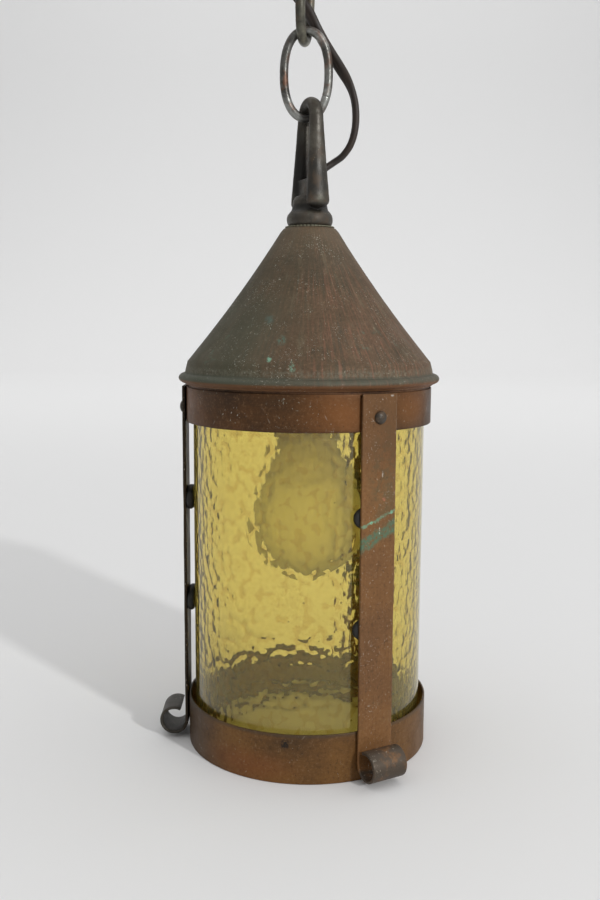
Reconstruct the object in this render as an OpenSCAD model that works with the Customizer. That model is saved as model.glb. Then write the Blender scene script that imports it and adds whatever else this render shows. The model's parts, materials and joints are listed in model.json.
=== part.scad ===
// Hanging lantern: a copper cylinder frame with a cone roof, an amber glass tube,
// a cast hanger, two chain links, a twin flex and a small ceiling canopy.
// Z = 0 is the ceiling. The heights below are counted up from the lantern's base.

/* [Lantern body] */
// Outside diameter of the two copper bands
band_d = 127; // [120:1:134]
// Height of the base band
base_h = 25; // [20:0.5:30]
// Height at which the upper band starts
upper_z = 171; // [160:1:180]
// Height of the upper band
upper_h = 18; // [14:0.5:18]
// Thickness of the sheet copper
sheet_t = 1; // [0.8:0.1:1.2]

/* [Straps] */
// Width of each strap
strap_w = 19.5; // [16:0.5:22]
// Thickness of each strap
strap_t = 1.6; // [1.2:0.1:2]
// Outside radius of the rolled foot
roll_r = 7.6; // [6:0.1:9]
// Turn of the first strap from the front
strap_turn = 31; // [0:1:60]
// How far the rear strap stands off the even spacing of 120 degrees
rear_slip = 3; // [0:1:6]

/* [Glass] */
// Outside diameter of the glass tube
glass_d = 120.6; // [114:0.2:121]
// Wall of the glass tube
glass_t = 3; // [2:0.5:4]

/* [Roof] */
// Height at which the cone ends in its flat top
roof_top_z = 269.4; // [255:0.2:270]
// Radius of the flat top
roof_top_r = 13.6; // [13:0.2:15]
// Projection of the rolled bead past the band
bead_out = 3.6; // [2:0.2:5]

/* [Hanger and chain] */
// Turn of the cast loop about the upright
loop_turn = 23; // [0:1:40]
// Wire radius of the ring link
ring_wire = 2.25; // [2:0.05:2.5]
// Wire radius of the upper link
link_wire = 2.5; // [2:0.05:2.6]
// Turn of the upper link about the upright
link_turn = -12; // [-20:1:0]
// Gap left between parts that swing on each other
swing_gap = 0.3; // [0.2:0.05:0.4]

/* [Canopy] */
// Outside diameter of the ceiling canopy
canopy_d = 120; // [118:1:140]
// Depth of the canopy below the ceiling
canopy_h = 22; // [20:1:30]
// Distance between the two slots for the outlet box screws
box_pitch = 88.9; // [84:0.1:90]

/* [Cord and bulb] */
// Radius of the cord's plain tube
cord_r = 2.4; // [2:0.1:2.5]
// Diameter of the bulb
bulb_d = 60; // [55:1:62]
// Height of the bulb's lowest point
bulb_z = 88.3; // [84:0.1:96]

/* [Hidden] */
$fn = 72;
faceted = 32;
hair = 0.05;

copper = [0.45, 0.29, 0.2];
roof_copper = [0.4, 0.33, 0.27];
bronze = [0.27, 0.25, 0.22];
steel = [0.55, 0.55, 0.53];
brass = [0.72, 0.6, 0.32];
amber = [0.85, 0.7, 0.2, 0.6];
dark = [0.16, 0.14, 0.12];
flex = [0.3, 0.2, 0.15];
milk = [0.93, 0.91, 0.85];

// Body
band_r = band_d / 2;
band_in = band_r - sheet_t;
glass_r = glass_d / 2;
seat_z = 2.5;
seat_t = 1.2;
glass_z = seat_z + seat_t + 0.2;
glass_top = upper_z + 14;
skirt_r = band_in - 0.1;
skirt_t = 1;
skirt_z = upper_z + 1;

// Straps
strap_in = band_r + hair;
strap_out = strap_in + strap_t;
strap_turns = [strap_turn, strap_turn - 120, strap_turn + 120 - rear_slip];
strap_top = upper_z + upper_h;
roll_z = roll_r + 2.3;
roll_centre = strap_in + roll_r;
roll_open = 60;
rivet_r = 1.6;
upper_rivet_z = 177.9;
upper_dome = [3.2, 2.3];
base_rivet_z = roll_z + 2.3;
base_dome = [2.2, 0.9];
pad_z = [75.5, 130];
pad_w = 23.2;
pad_h = 12.6;

// Roof
lip_z = strap_top + 1.1;
lip_r = band_r + 0.5;
bead_z = lip_z + 3.3;
bead_h = 2.5;
cone_base_z = bead_z + 8.4;
cone_drop = roof_top_z - cone_base_z;
cone_flare = 0.0015;
cone_slope = (lip_r - 1.4 - roof_top_r) / cone_drop - cone_flare * cone_drop;
roof_steps = 10;

// Hanger
collar_z = roof_top_z + 0.8;
collar_r = 11.8;
neck_z = 278.4;
neck_r = 8.9;
foot_out = 10.5;
stem_r = 5.1;
stem_bore = 3.3;
stem_low = 228;
stem_top = 284;
lead_hole = 2.7;
arch_hole = 4.2;
arch_bar = 3.3;
arch_gap = 1.75;

// Chain: each pivot is the centre of the lower part's wire seat
hanger_pivot = 323.85;
arch_z = hanger_pivot + ring_wire + arch_gap - arch_hole;
ring_end = 11.2;
ring_straight = 9.9;
ring_z = hanger_pivot + ring_end + ring_straight;
ring_shift = -2.2;
// The upper link sits a little left of both curves it bears on, so it stands further off them
ring_room = 0.08;
eye_room = 0.36;
ring_pivot = ring_z + ring_straight + ring_end - ring_wire - link_wire - swing_gap - ring_room;
chain_x = -2.3;
chain_lean = 2;
link_end = 10.85;
link_straight = 10.65;
link_z = ring_pivot + link_end + link_straight;
eye_wire = 2.4;
eye_r = 9.9;
eye_pivot = link_z + link_end + link_straight - link_wire - eye_wire - swing_gap - eye_room;
eye_z = eye_pivot + eye_r;
seam_t = 0.35;

// Canopy
ceiling = 452;
canopy_z = ceiling - canopy_h;
canopy_flat = 24;
bar_t = 2.5;
bar_w = 16;
slot_r = 2.3;
slot_len = 12;
bushing_at = [-17, 5];
bushing_r = 4;
sheet_c = 1;

// Socket and bulb
socket_z = 178;
cap_z = 216;
cap_top = 238;
shell_r = 16.1;
bulb_r = bulb_d / 2;
cap_r = 12.9;
cap_low = 178.5;
cap_high = 200;
glass_in_cap = 3.8;
shoulder_z = bulb_z + bulb_r * (1 + sin(20));
// The neck: its radius, and how far up it is between the shoulder and the rim in the cap
bulb_neck = [
  [26.2, 0.104], [22.6, 0.279], [18.6, 0.475], [15.2, 0.672], [12.8, 0.825], [12.3, 0.891],
  [12.3, 1]
];

// The cord's route, from the canopy's bushing to the hole in the cast hanger
route = [
  [-17, 5, 430], [-17, 5, 424], [-16.6, 5.2, 416], [-15.6, 5.5, 408],
  [-13.8, 5.6, 400], [-11, 5.4, 392], [-7.6, 4.8, 385.6], [-3.4, 3.8, 380.4],
  [1, 3.8, 375.2], [4.6, 4.8, 369], [8.6, 5.4, 362.6], [12.8, 5, 356],
  [16.6, 4, 349], [19.8, 3, 342], [22, 2, 334.6], [22.9, 1.4, 327],
  [22.6, 1.2, 319], [20.6, 1.6, 311.6], [16.6, 3.2, 306], [11.8, 4, 302.6],
  [7.4, 3, 299.4], [3.9, 1.6, 295.4], [1.4, 0.5, 290.6], [0, 0, 285]
];
cord_sides = 10;
cord_steps = 3;

// Moves a piece from the heights above the base to the row's frame
module hung() {
  translate([0, 0, -ceiling]) children();
}

// A round tube standing on z
module tube(r_out, r_in, z, h) {
  translate([0, 0, z]) difference() {
    cylinder(h = h, r = r_out);
    translate([0, 0, -1]) cylinder(h = h + 2, r = r_in);
  }
}

// Puts a piece drawn at +X at each strap
module at_straps() {
  for (turn = strap_turns) rotate([0, 0, turn - 90]) children();
}

// An oval link of round wire in the XZ plane
module oval_link(end_r, straight, wire) {
  for (side = [-1, 1]) {
    translate([side * end_r, 0, 0]) cylinder(h = 2 * straight, r = wire, center = true);
    translate([0, 0, side * straight]) rotate([side * 90, 0, 0])
      rotate_extrude(angle = 180) translate([end_r, 0]) circle(wire);
  }
}

// Radius of the slightly flared cone at a distance below its top
function cone_r(d) = roof_top_r + cone_slope * d + cone_flare * d * d;

// The roof's outside from its flat top down to the lip, grown by an offset
function roof_outline(off) = concat(
  [for (i = [0:roof_steps]) let (d = cone_drop * i / roof_steps)
    [cone_r(d) - off, roof_top_z - d - off * 0.6]],
  [[lip_r - off, bead_z + 4.4], [lip_r - off, bead_z + bead_h]]
);

// A smooth curve through the route's points
function smooth(a, b, c, d, t) = 0.5 * (2 * b + (c - a) * t
  + (2 * a - 5 * b + 4 * c - d) * t * t + (3 * b - a - 3 * c + d) * t * t * t);
function point_at(i) = route[max(0, min(len(route) - 1, i))];
cord_path = concat(
  [for (i = [0:len(route) - 2], k = [0:cord_steps - 1])
    smooth(point_at(i - 1), point_at(i), point_at(i + 1), point_at(i + 2), k / cord_steps)],
  [route[len(route) - 1]]
);
cord_rings = len(cord_path);
function along(i) = cord_path[min(cord_rings - 1, i + 1)] - cord_path[max(0, i - 1)];
function unit(v) = v / norm(v);
// Each ring of the tube lies square to the route
function ring_points(i) =
  let (t = i == 0 || i == cord_rings - 1 ? [0, 0, -1] : unit(along(i)),
       side = unit(cross(t, [0, 1, 0])), up = cross(side, t))
  [for (k = [0:cord_sides - 1]) let (a = 360 * k / cord_sides)
    cord_path[i] + cord_r * (cos(a) * side + sin(a) * up)];

module cord() {
  n = cord_sides;
  last = (cord_rings - 1) * n;
  color(flex) hung() polyhedron(
    points = [for (i = [0:cord_rings - 1]) each ring_points(i)],
    faces = concat(
      [[for (k = [0:n - 1]) k]],
      [for (i = [0:cord_rings - 2], k = [0:n - 1])
        [i * n + k, (i + 1) * n + k, (i + 1) * n + (k + 1) % n, i * n + (k + 1) % n]],
      [[for (k = [n - 1:-1:0]) last + k]]
    ));
}

module mounting_bar() {
  bar_l = box_pitch + slot_len + 8;
  color(steel) difference() {
    translate([-bar_l / 2, -bar_w / 2, -bar_t]) cube([bar_l, bar_w, bar_t]);
    translate([0, 0, -bar_t - 1]) cylinder(h = bar_t + 2, r = stem_r + 0.1);
    for (side = [-1, 1]) translate([side * box_pitch / 2, 0, -bar_t - 1])
      linear_extrude(bar_t + 2) {
        square([slot_len - 2 * slot_r, 2 * slot_r], center = true);
        for (end = [-1, 1]) translate([end * (slot_len / 2 - slot_r), 0]) circle(slot_r);
      }
  }
}

module canopy_nipple() {
  color(brass) hung() tube(stem_r, stem_bore, canopy_z - 9, canopy_h + 9);
}

module nipple_nut() {
  color(brass) hung() translate([0, 0, ceiling - bar_t - 4.2]) difference() {
    cylinder(h = 4, r = 8.1, $fn = 6);
    translate([0, 0, -1]) cylinder(h = 6, r = stem_r + hair);
  }
}

module canopy_dish() {
  rim = canopy_d / 2;
  slope_top = ceiling - 7;
  color(copper) hung() difference() {
    rotate_extrude() polygon([
      [6, canopy_z], [canopy_flat, canopy_z],
      [canopy_flat + 3, canopy_z + 0.8], [rim - 6, slope_top - 1], [rim - 3.6, slope_top + 1],
      [rim - 3, ceiling - 4.6], [rim - 1, ceiling - 4.2], [rim, ceiling - 2.6],
      [rim - 1, ceiling - 0.6], [rim - 2.4, ceiling],
      [rim - 4, ceiling], [rim - 4.6, slope_top + 2],
      [rim - 6.6, slope_top], [canopy_flat + 2.4, canopy_z + sheet_c + 0.8],
      [canopy_flat - 0.4, canopy_z + sheet_c], [6, canopy_z + sheet_c]
    ]);
    translate([bushing_at[0], bushing_at[1], canopy_z - 1]) cylinder(h = 4, r = bushing_r);
  }
}

module canopy_collar() {
  color(bronze) hung() difference() {
    rotate_extrude() polygon([
      [stem_r + hair, canopy_z - 6], [8.4, canopy_z - 6], [9.8, canopy_z - 5],
      [10.2, canopy_z - 3.4], [9.8, canopy_z - 1.6], [11.4, canopy_z - 0.9],
      [11.4, canopy_z - 0.1], [stem_r + hair, canopy_z - 0.1]
    ]);
    for (k = [0:11]) rotate([0, 0, 30 * k]) translate([11.1, 0, canopy_z - 5])
      cylinder(h = 4.2, r = 1.1);
  }
}

module canopy_eye() {
  neck_low = eye_z + eye_r - 1.5;
  neck_top = canopy_z - 6.1;
  color(bronze) hung() difference() {
    union() {
      translate([0, 0, eye_z]) rotate([90, 0, 0]) rotate_extrude()
        translate([eye_r, 0]) circle(eye_wire);
      rotate_extrude() polygon([
        [0, neck_low], [3.2, neck_low], [5.6, neck_low + 2.4], [8.2, neck_top - 2],
        [8.2, neck_top - 0.4], [7.6, neck_top], [0, neck_top]
      ]);
    }
    translate([0, 0, canopy_z - 9.1]) cylinder(h = 6, r = stem_r + hair);
  }
}

module cord_bushing() {
  color(dark) hung() translate([bushing_at[0], bushing_at[1], 0]) {
    tube(bushing_r - hair, cord_r + 0.3, canopy_z - 0.1, sheet_c + 0.2);
    tube(bushing_r + 1.4, cord_r + 0.3, canopy_z - 1.5, 1.4);
    tube(bushing_r + 1.2, cord_r + 0.3, canopy_z + sheet_c + 0.1, 1.2);
  }
}

module upper_link() {
  color(bronze) hung() translate([chain_x, 0, eye_pivot]) rotate([0, chain_lean, 0])
    translate([0, 0, link_z - eye_pivot]) rotate([0, 0, link_turn + 90])
      oval_link(link_end, link_straight, link_wire);
}

module ring_link() {
  color(bronze) hung() difference() {
    translate([ring_shift, 0, ring_z]) oval_link(ring_end, ring_straight, ring_wire);
    translate([ring_shift + ring_end - 4, -4, ring_z - ring_straight - 1])
      cube([8, 8, seam_t]);
  }
}

// One leg of the cast loop: slim at the arch, broad and rounded at its foot
module loop_leg() {
  foot = [5.4, 3.6, 4.6];
  hull() {
    translate([0, -arch_hole - arch_bar, arch_z]) sphere(arch_bar - 0.05, $fn = faceted);
    translate([0, -foot_out, neck_z + 0.6 + foot[2]]) scale(foot) sphere(1, $fn = faceted);
  }
}

module hanger_loop() {
  web_top = 294;
  web_low = 288;
  bulge = (neck_z - collar_z) / 2;
  color(bronze) hung() difference() {
    union() {
      rotate([0, 0, loop_turn]) {
        translate([0, 0, arch_z]) rotate([90, 0, 90]) rotate_extrude(angle = 180)
          translate([arch_hole + arch_bar, 0]) circle(arch_bar);
        for (turn = [0, 180]) rotate([0, 0, turn]) loop_leg();
        rotate([90, 0, 0]) linear_extrude(12, center = true) polygon([
          [-3.6, neck_z], [3.6, neck_z], [3.6, web_low], [-3.6, web_top]
        ]);
      }
      rotate_extrude() polygon(concat(
        [[0, collar_z], [collar_r - 1.4, collar_z]],
        [for (a = [-45:15:75])
          [collar_r - bulge + bulge * cos(a), collar_z + bulge + bulge * sin(a)]],
        [[neck_r, neck_z], [neck_r, 283], [neck_r - 2, 286], [0, 286]]
      ));
    }
    translate([0, 0, collar_z - 1]) cylinder(h = stem_top - collar_z + 1.1, r = stem_r + hair);
    translate([0, 0, stem_top - 1]) cylinder(h = 14, r = lead_hole);
    rotate([0, 0, loop_turn]) translate([0, 0, 288]) rotate([0, 32, 0])
      cylinder(h = 14, r = lead_hole);
  }
}

module top_washer() {
  color(brass) hung() tube(12.7, stem_r + 0.2, roof_top_z + hair, 0.7);
}

module stem_nipple() {
  color(brass) hung() tube(stem_r, stem_bore, stem_low, stem_top - stem_low);
}

module roof_cone() {
  bead = [for (a = [60:-20:-80]) [lip_r + bead_out * cos(a), bead_z + bead_h * sin(a)]];
  color(roof_copper) hung() rotate_extrude() polygon(concat(
    [[stem_r + 0.3, roof_top_z]],
    roof_outline(0),
    bead,
    [[lip_r, lip_z], [lip_r - sheet_t, lip_z]],
    [for (p = [len(roof_outline(0)) - 1:-1:0]) roof_outline(sheet_t)[p]],
    [[stem_r + 0.3, roof_top_z - sheet_t]]
  ));
}

module roof_skirt() {
  color(copper) hung() difference() {
    tube(skirt_r, skirt_r - skirt_t, skirt_z, bead_z + bead_h - skirt_z);
    at_straps() translate([skirt_r - 5, 0, upper_rivet_z]) rotate([0, 90, 0])
      cylinder(h = 8, r = rivet_r + hair);
  }
}

module roof_washer() {
  color(steel) hung() tube(10.2, stem_r + 0.2, roof_top_z - sheet_t - 1.3, 1.2);
}

module roof_nut() {
  color(brass) hung() translate([0, 0, roof_top_z - sheet_t - 6]) difference() {
    cylinder(h = 4.6, r = 8.1, $fn = 6);
    translate([0, 0, -1]) cylinder(h = 7, r = stem_r + hair);
  }
}

// A rolled sheet band with its rivet holes
module band(z, h, hole_z) {
  color(copper) hung() difference() {
    tube(band_r, band_in, z, h);
    at_straps() translate([band_in - 5, 0, hole_z]) rotate([0, 90, 0])
      cylinder(h = 12, r = rivet_r + hair);
  }
}

module upper_band() {
  band(upper_z, upper_h, upper_rivet_z);
}

module base_band() {
  band(0, base_h, base_rivet_z);
}

module glass_seat() {
  color(copper) hung() tube(band_in - 0.1, 52, seat_z, seat_t);
}

// A flat strap whose foot rolls outward and up. The outline lies in (radius, height)
module strap(turn) {
  color(copper) hung() rotate([0, 0, turn - 90]) difference() {
    rotate([90, 0, 0]) linear_extrude(strap_w, center = true) {
      translate([strap_in, roll_z]) square([strap_t, strap_top - roll_z]);
      translate([roll_centre, roll_z]) difference() {
        circle(roll_r);
        circle(roll_r - strap_t);
        polygon([[0, 0], [-2 * roll_r, 0], [-2 * roll_r, 2 * roll_r],
          [-2 * roll_r * cos(roll_open), 2 * roll_r * sin(roll_open)]]);
      }
    }
    for (z = [base_rivet_z, upper_rivet_z]) translate([strap_in - 3, 0, z]) rotate([0, 90, 0])
      cylinder(h = 6, r = rivet_r + hair);
  }
}

module strap_front() {
  strap(strap_turns[0]);
}

module strap_left() {
  strap(strap_turns[1]);
}

module strap_rear() {
  strap(strap_turns[2]);
}

// A rivet through a strap and what is behind it, with a domed head outside.
// The dome is given as [radius, height]
module rivet(z, inner, dome) {
  ball = (dome[0] * dome[0] + dome[1] * dome[1]) / (2 * dome[1]);
  translate([0, 0, z]) rotate([0, 90, 0]) {
    translate([0, 0, inner]) cylinder(h = strap_out - inner + dome[1] / 2, r = rivet_r);
    translate([0, 0, inner - 0.8]) cylinder(h = 0.8, r = 2.6);
    translate([0, 0, strap_out + hair]) intersection() {
      translate([0, 0, dome[1] - ball]) sphere(ball);
      cylinder(h = dome[1], r = dome[0]);
    }
  }
}

module upper_rivets() {
  color(bronze) hung() at_straps() rivet(upper_rivet_z, skirt_r - skirt_t - hair, upper_dome);
}

module base_rivets() {
  color(bronze) hung() at_straps() rivet(base_rivet_z, band_in - hair, base_dome);
}

module glass_cylinder() {
  color(amber) hung() tube(glass_r, glass_r - glass_t, glass_z, glass_top - glass_z);
}

module glass_pads() {
  color(dark) hung() difference() {
    at_straps() for (z = pad_z) translate([strap_in - hair, 0, z]) rotate([0, -90, 0])
      linear_extrude(5.5)
        polygon([for (a = [0:15:345]) [pad_h / 2 * cos(a), pad_w / 2 * sin(a)]]);
    translate([0, 0, pad_z[0] - pad_h]) cylinder(h = 80, r = glass_r + 0.1);
  }
}

module socket_cap() {
  color(brass) hung() difference() {
    rotate_extrude() polygon([
      [stem_r + hair, stem_low], [7.4, stem_low], [7.4, cap_z + 14.4], [12, cap_z + 11.4],
      [15.4, cap_z + 6], [15.9, cap_z + 0.2], [shell_r + 0.7, cap_z + 0.2],
      [shell_r + 0.7, cap_z + 3], [16.2, cap_z + 7.4], [12.6, cap_z + 12.6],
      [8.2, cap_z + 16], [7.6, cap_top], [stem_r + hair, cap_top]
    ]);
    translate([4, 0, cap_top - 3.6]) rotate([0, 90, 0]) cylinder(h = 8, r = 1.3);
  }
}

module socket_shell() {
  color(brass) hung() tube(shell_r, shell_r - 0.5, socket_z, cap_z - socket_z);
}

module socket_liner() {
  color(dark) hung() tube(shell_r - 0.6, shell_r - 1.4, socket_z + 1, cap_z - socket_z - 2);
}

module socket_core() {
  color(dark) hung() difference() {
    translate([0, 0, 206]) cylinder(h = 14, r = 14);
    for (side = [-1, 1]) translate([side * 9.5, 0, 210]) cylinder(h = 12, r = 2.1);
    translate([0, 0, 212]) cylinder(h = 9, r = 4);
  }
}

module socket_screw_shell() {
  color(brass) hung() {
    tube(13.8, 13.3, socket_z + 2, 205 - socket_z - 2);
    tube(13.8, 7, 205, 0.9);
  }
}

module socket_contact() {
  color(brass) hung() {
    translate([-3, -2.5, 204.9]) cube([6, 5, 0.5]);
    translate([2.5, -2.5, 204.9]) cube([0.5, 5, 1]);
  }
}

module terminal_screws() {
  color(brass) hung() for (side = [-1, 1]) translate([side * 9.5, 0, 212]) {
    cylinder(h = 8, r = 1.9);
    translate([0, 0, 8.2]) cylinder(h = 2, r = 3.2);
    translate([0, 0, 7.9]) cylinder(h = 0.5, r = 1.9);
  }
}

module lamp_lead() {
  color(flex) hung() translate([0, 0, 222]) cylinder(h = 63, r = cord_r);
}

// Outline of the bulb's glass, shrunk by an offset, from its crown to its neck
function bulb_outline(off) = concat(
  [for (a = [-90:10:20]) [(bulb_r - off) * cos(a), bulb_z + bulb_r + (bulb_r - off) * sin(a)]],
  [for (p = bulb_neck) [p[0] - off, shoulder_z + p[1] * (cap_low + glass_in_cap - shoulder_z)]]
);

module bulb_glass() {
  rim = len(bulb_outline(0)) - 1;
  color(milk) hung() rotate_extrude() polygon(concat(
    bulb_outline(0),
    [for (k = [rim:-1:0]) bulb_outline(0.8)[k]]
  ));
}

module bulb_cap() {
  color(steel) hung() tube(cap_r, cap_r - 0.3, cap_low, cap_high - cap_low);
}

module bulb_insulator() {
  color(dark) hung() rotate_extrude() polygon([
    [4.7, cap_high - 1.4], [cap_r - 0.4, cap_high - 1.4], [cap_r - 0.4, cap_high],
    [cap_r - 1.6, cap_high + 0.8], [5.6, 203], [4.7, 203]
  ]);
}

module bulb_tip() {
  color(steel) hung() translate([0, 0, 202]) cylinder(h = 2.1, r = 4.6);
}

module bulb_stem() {
  color(milk) hung() rotate_extrude() polygon([
    [0, 160], [2, 160], [2.6, 163], [3.4, 172], [10.6, 179.6], [10.6, 181], [0, 181]
  ]);
}

module bulb_filament() {
  span = 11;
  color(steel) hung() {
    translate([-span, 0, 138.5]) rotate([0, 90, 0]) cylinder(h = 2 * span, r = 0.5);
    for (side = [-1, 1]) translate([side * 2.9, 0, 162.5]) rotate([0, 180 - side * 18, 0])
      cylinder(h = 24.6, r = 0.35);
  }
}

mounting_bar();
canopy_nipple();
nipple_nut();
canopy_dish();
canopy_collar();
canopy_eye();
cord_bushing();
upper_link();
ring_link();
cord();
hanger_loop();
top_washer();
stem_nipple();
roof_cone();
roof_skirt();
roof_washer();
roof_nut();
upper_band();
base_band();
glass_seat();
strap_front();
strap_left();
strap_rear();
upper_rivets();
base_rivets();
glass_cylinder();
glass_pads();
socket_cap();
socket_shell();
socket_liner();
socket_core();
socket_screw_shell();
socket_contact();
terminal_screws();
lamp_lead();
bulb_glass();
bulb_cap();
bulb_insulator();
bulb_tip();
bulb_stem();
bulb_filament();
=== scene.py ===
"""Looks of the hanging lantern: aged copper, a bronze hanger and chain, amber hammered glass."""

import json
import math

import bmesh
import bpy
import numpy as np
from mathutils import Matrix, Vector, noise

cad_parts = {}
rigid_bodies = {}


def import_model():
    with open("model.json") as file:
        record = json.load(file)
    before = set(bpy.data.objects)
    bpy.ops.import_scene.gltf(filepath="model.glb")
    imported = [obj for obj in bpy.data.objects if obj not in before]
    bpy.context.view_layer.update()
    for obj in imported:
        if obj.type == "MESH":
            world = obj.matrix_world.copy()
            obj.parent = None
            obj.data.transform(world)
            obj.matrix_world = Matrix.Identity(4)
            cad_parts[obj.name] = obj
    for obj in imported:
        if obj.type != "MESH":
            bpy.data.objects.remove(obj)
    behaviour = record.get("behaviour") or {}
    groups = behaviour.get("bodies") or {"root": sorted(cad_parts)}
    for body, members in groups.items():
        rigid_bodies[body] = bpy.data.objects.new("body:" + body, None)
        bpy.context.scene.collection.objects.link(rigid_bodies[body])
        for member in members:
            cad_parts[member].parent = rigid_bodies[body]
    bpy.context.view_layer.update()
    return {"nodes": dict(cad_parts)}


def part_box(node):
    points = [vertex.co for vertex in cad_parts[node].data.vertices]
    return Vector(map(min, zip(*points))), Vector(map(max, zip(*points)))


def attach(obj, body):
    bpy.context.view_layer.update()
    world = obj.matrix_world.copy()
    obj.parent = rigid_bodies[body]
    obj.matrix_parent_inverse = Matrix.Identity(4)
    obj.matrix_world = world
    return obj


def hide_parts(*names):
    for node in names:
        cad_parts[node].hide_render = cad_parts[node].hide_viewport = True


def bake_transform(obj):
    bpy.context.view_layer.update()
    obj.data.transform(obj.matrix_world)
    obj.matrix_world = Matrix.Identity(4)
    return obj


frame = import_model()

MM = 0.001
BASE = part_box("base_band")[0].z
BAND_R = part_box("base_band")[1].x
SHEET = 1.0 * MM


def height(mm):
    """A height over the lantern's base, given in millimetres, as z in the frame."""
    return BASE + mm * MM


# ---------------------------------------------------------------- camera

CAMERA_BACK = 0.5122
CAMERA_UP = 222.5
CAMERA_DOWN = 7.51
CAMERA_YAW = 0.49
CAMERA_ROLL = 0.3
LENS = 39.2


def make_camera():
    data = bpy.data.cameras.new("camera")
    data.sensor_width = 36
    data.lens = LENS
    data.clip_start = 0.01
    camera = bpy.data.objects.new("camera", data)
    bpy.context.scene.collection.objects.link(camera)
    turn = Matrix.Rotation(math.radians(CAMERA_YAW), 4, "Z")
    tilt = Matrix.Rotation(math.radians(90 - CAMERA_DOWN), 4, "X")
    roll = Matrix.Rotation(math.radians(CAMERA_ROLL), 4, "Z")
    place = Matrix.Translation((0, -CAMERA_BACK, height(CAMERA_UP)))
    camera.matrix_world = place @ turn @ tilt @ roll
    bpy.context.scene.camera = camera


make_camera()

# ---------------------------------------------------------------- mesh tools


def new_object(name, verts, faces, sharp=40, smooth=True):
    mesh = bpy.data.meshes.new(name)
    mesh.from_pydata([tuple(v) for v in verts], [], faces)
    mesh.validate()
    if smooth:
        mesh.shade_smooth()
        mesh.set_sharp_from_angle(angle=math.radians(sharp))
    obj = bpy.data.objects.new(name, mesh)
    bpy.context.scene.collection.objects.link(obj)
    return obj


def fillet(points, radius, steps=3):
    """The closed outline with each corner rounded by up to that radius."""
    out = []
    for i, corner in enumerate(points):
        here = np.array(corner, float)
        before = np.array(points[i - 1], float) - here
        after = np.array(points[(i + 1) % len(points)], float) - here
        reach = min(radius, np.linalg.norm(before) * 0.45, np.linalg.norm(after) * 0.45)
        start = here + before / np.linalg.norm(before) * reach
        end = here + after / np.linalg.norm(after) * reach
        for k in range(steps + 1):
            t = k / steps
            out.append((1 - t) ** 2 * start + 2 * t * (1 - t) * here + t * t * end)
    return out


def running(points):
    """How far along a closed outline each point lies, with the whole length at the end."""
    run = [0.0]
    for a, b in zip(points, list(points[1:]) + [points[0]]):
        run.append(run[-1] + math.dist(a, b))
    return run


def ring_faces(first, second, count):
    """The faces between two rings of that many vertices, given each ring's first vertex."""
    pairs = [(k, (k + 1) % count) for k in range(count)]
    return [(first + k, first + n, second + n, second + k) for k, n in pairs]


def lathe(name, outline, turns=192):
    """Turns a closed outline of (radius, z) about Z. UVs run round and along, in metres."""
    rings = len(outline)
    verts, faces, uvs = [], [], []
    run = running(outline)
    for r, z in outline:
        for k in range(turns):
            a = 2 * math.pi * k / turns
            verts.append((r * math.sin(a), -r * math.cos(a), z))
    reach = max(r for r, z in outline)
    for i in range(rings):
        faces += ring_faces(i * turns, (i + 1) % rings * turns, turns)
        for k in range(turns):
            u0, u1 = (2 * math.pi * reach * t / turns for t in (k, k + 1))
            uvs += [(u0, run[i]), (u1, run[i]), (u1, run[i + 1]), (u0, run[i + 1])]
    return mapped_object(name, verts, faces, uvs, 40)


def mapped_object(name, verts, faces, uvs, sharp):
    """A closed mesh facing out, with UVs given per face corner in the order of its faces."""
    obj = new_object(name, verts, faces, sharp)
    face_out(obj)
    layer = obj.data.uv_layers.new(name="surface")
    table = {}
    at = 0
    for face in faces:
        table[frozenset(face)] = dict(zip(face, uvs[at:at + len(face)]))
        at += len(face)
    for poly in obj.data.polygons:
        corner = table[frozenset(poly.vertices)]
        for loop in poly.loop_indices:
            layer.data[loop].uv = corner[obj.data.loops[loop].vertex_index]
    return obj


def face_out(obj):
    """Makes the faces of a closed mesh point out of it."""
    bm = bmesh.new()
    bm.from_mesh(obj.data)
    bmesh.ops.recalc_face_normals(bm, faces=bm.faces)
    bm.to_mesh(obj.data)
    bm.free()


def unit(v):
    v = np.array(v, float)
    return v / max(np.linalg.norm(v), 1e-12)


def sweep(name, path, sections, side=None, closed=False, sharp=50):
    """Sweeps sections, lists of (across, along side) offsets, along a path.

    side gives each point's sideways direction. Without it, one is carried along the path."""
    path = [np.array(p, float) for p in path]
    count, sides = len(path), len(sections[0])
    verts, faces, uvs = [], [], []
    carried = None
    run = [0.0]
    for i, p in enumerate(path):
        ahead = path[(i + 1) % count] if closed or i < count - 1 else p
        behind = path[i - 1] if closed or i > 0 else p
        along = unit(ahead - behind)
        if side is not None:
            across = np.array(side[i], float)
        else:
            across = carried if carried is not None else np.cross(along, (0.12, 1, 0.07))
        across = unit(across - along * np.dot(across, along))
        carried = across
        third = np.cross(along, across)
        for a, b in sections[i]:
            verts.append(p + across * a + third * b)
        run.append(run[-1] + math.dist(p, ahead if i < count - 1 or closed else p))
    girth = running(sections[0])
    for i in range(count if closed else count - 1):
        faces += ring_faces(i * sides, (i + 1) % count * sides, sides)
        for a, b in zip(girth, girth[1:]):
            uvs += [(a, run[i]), (b, run[i]), (b, run[i + 1]), (a, run[i + 1])]
    if not closed:
        for ring, flip in ((0, True), (count - 1, False)):
            face = [ring * sides + k for k in range(sides)]
            faces.append(tuple(reversed(face)) if flip else tuple(face))
            uvs += [tuple(sections[ring][v % sides]) for v in faces[-1]]
    return mapped_object(name, verts, faces, uvs, sharp)


def disc_section(r_a, r_b, sides):
    turns = [2 * math.pi * k / sides for k in range(sides)]
    return [(r_a * math.cos(t), r_b * math.sin(t)) for t in turns]


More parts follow.
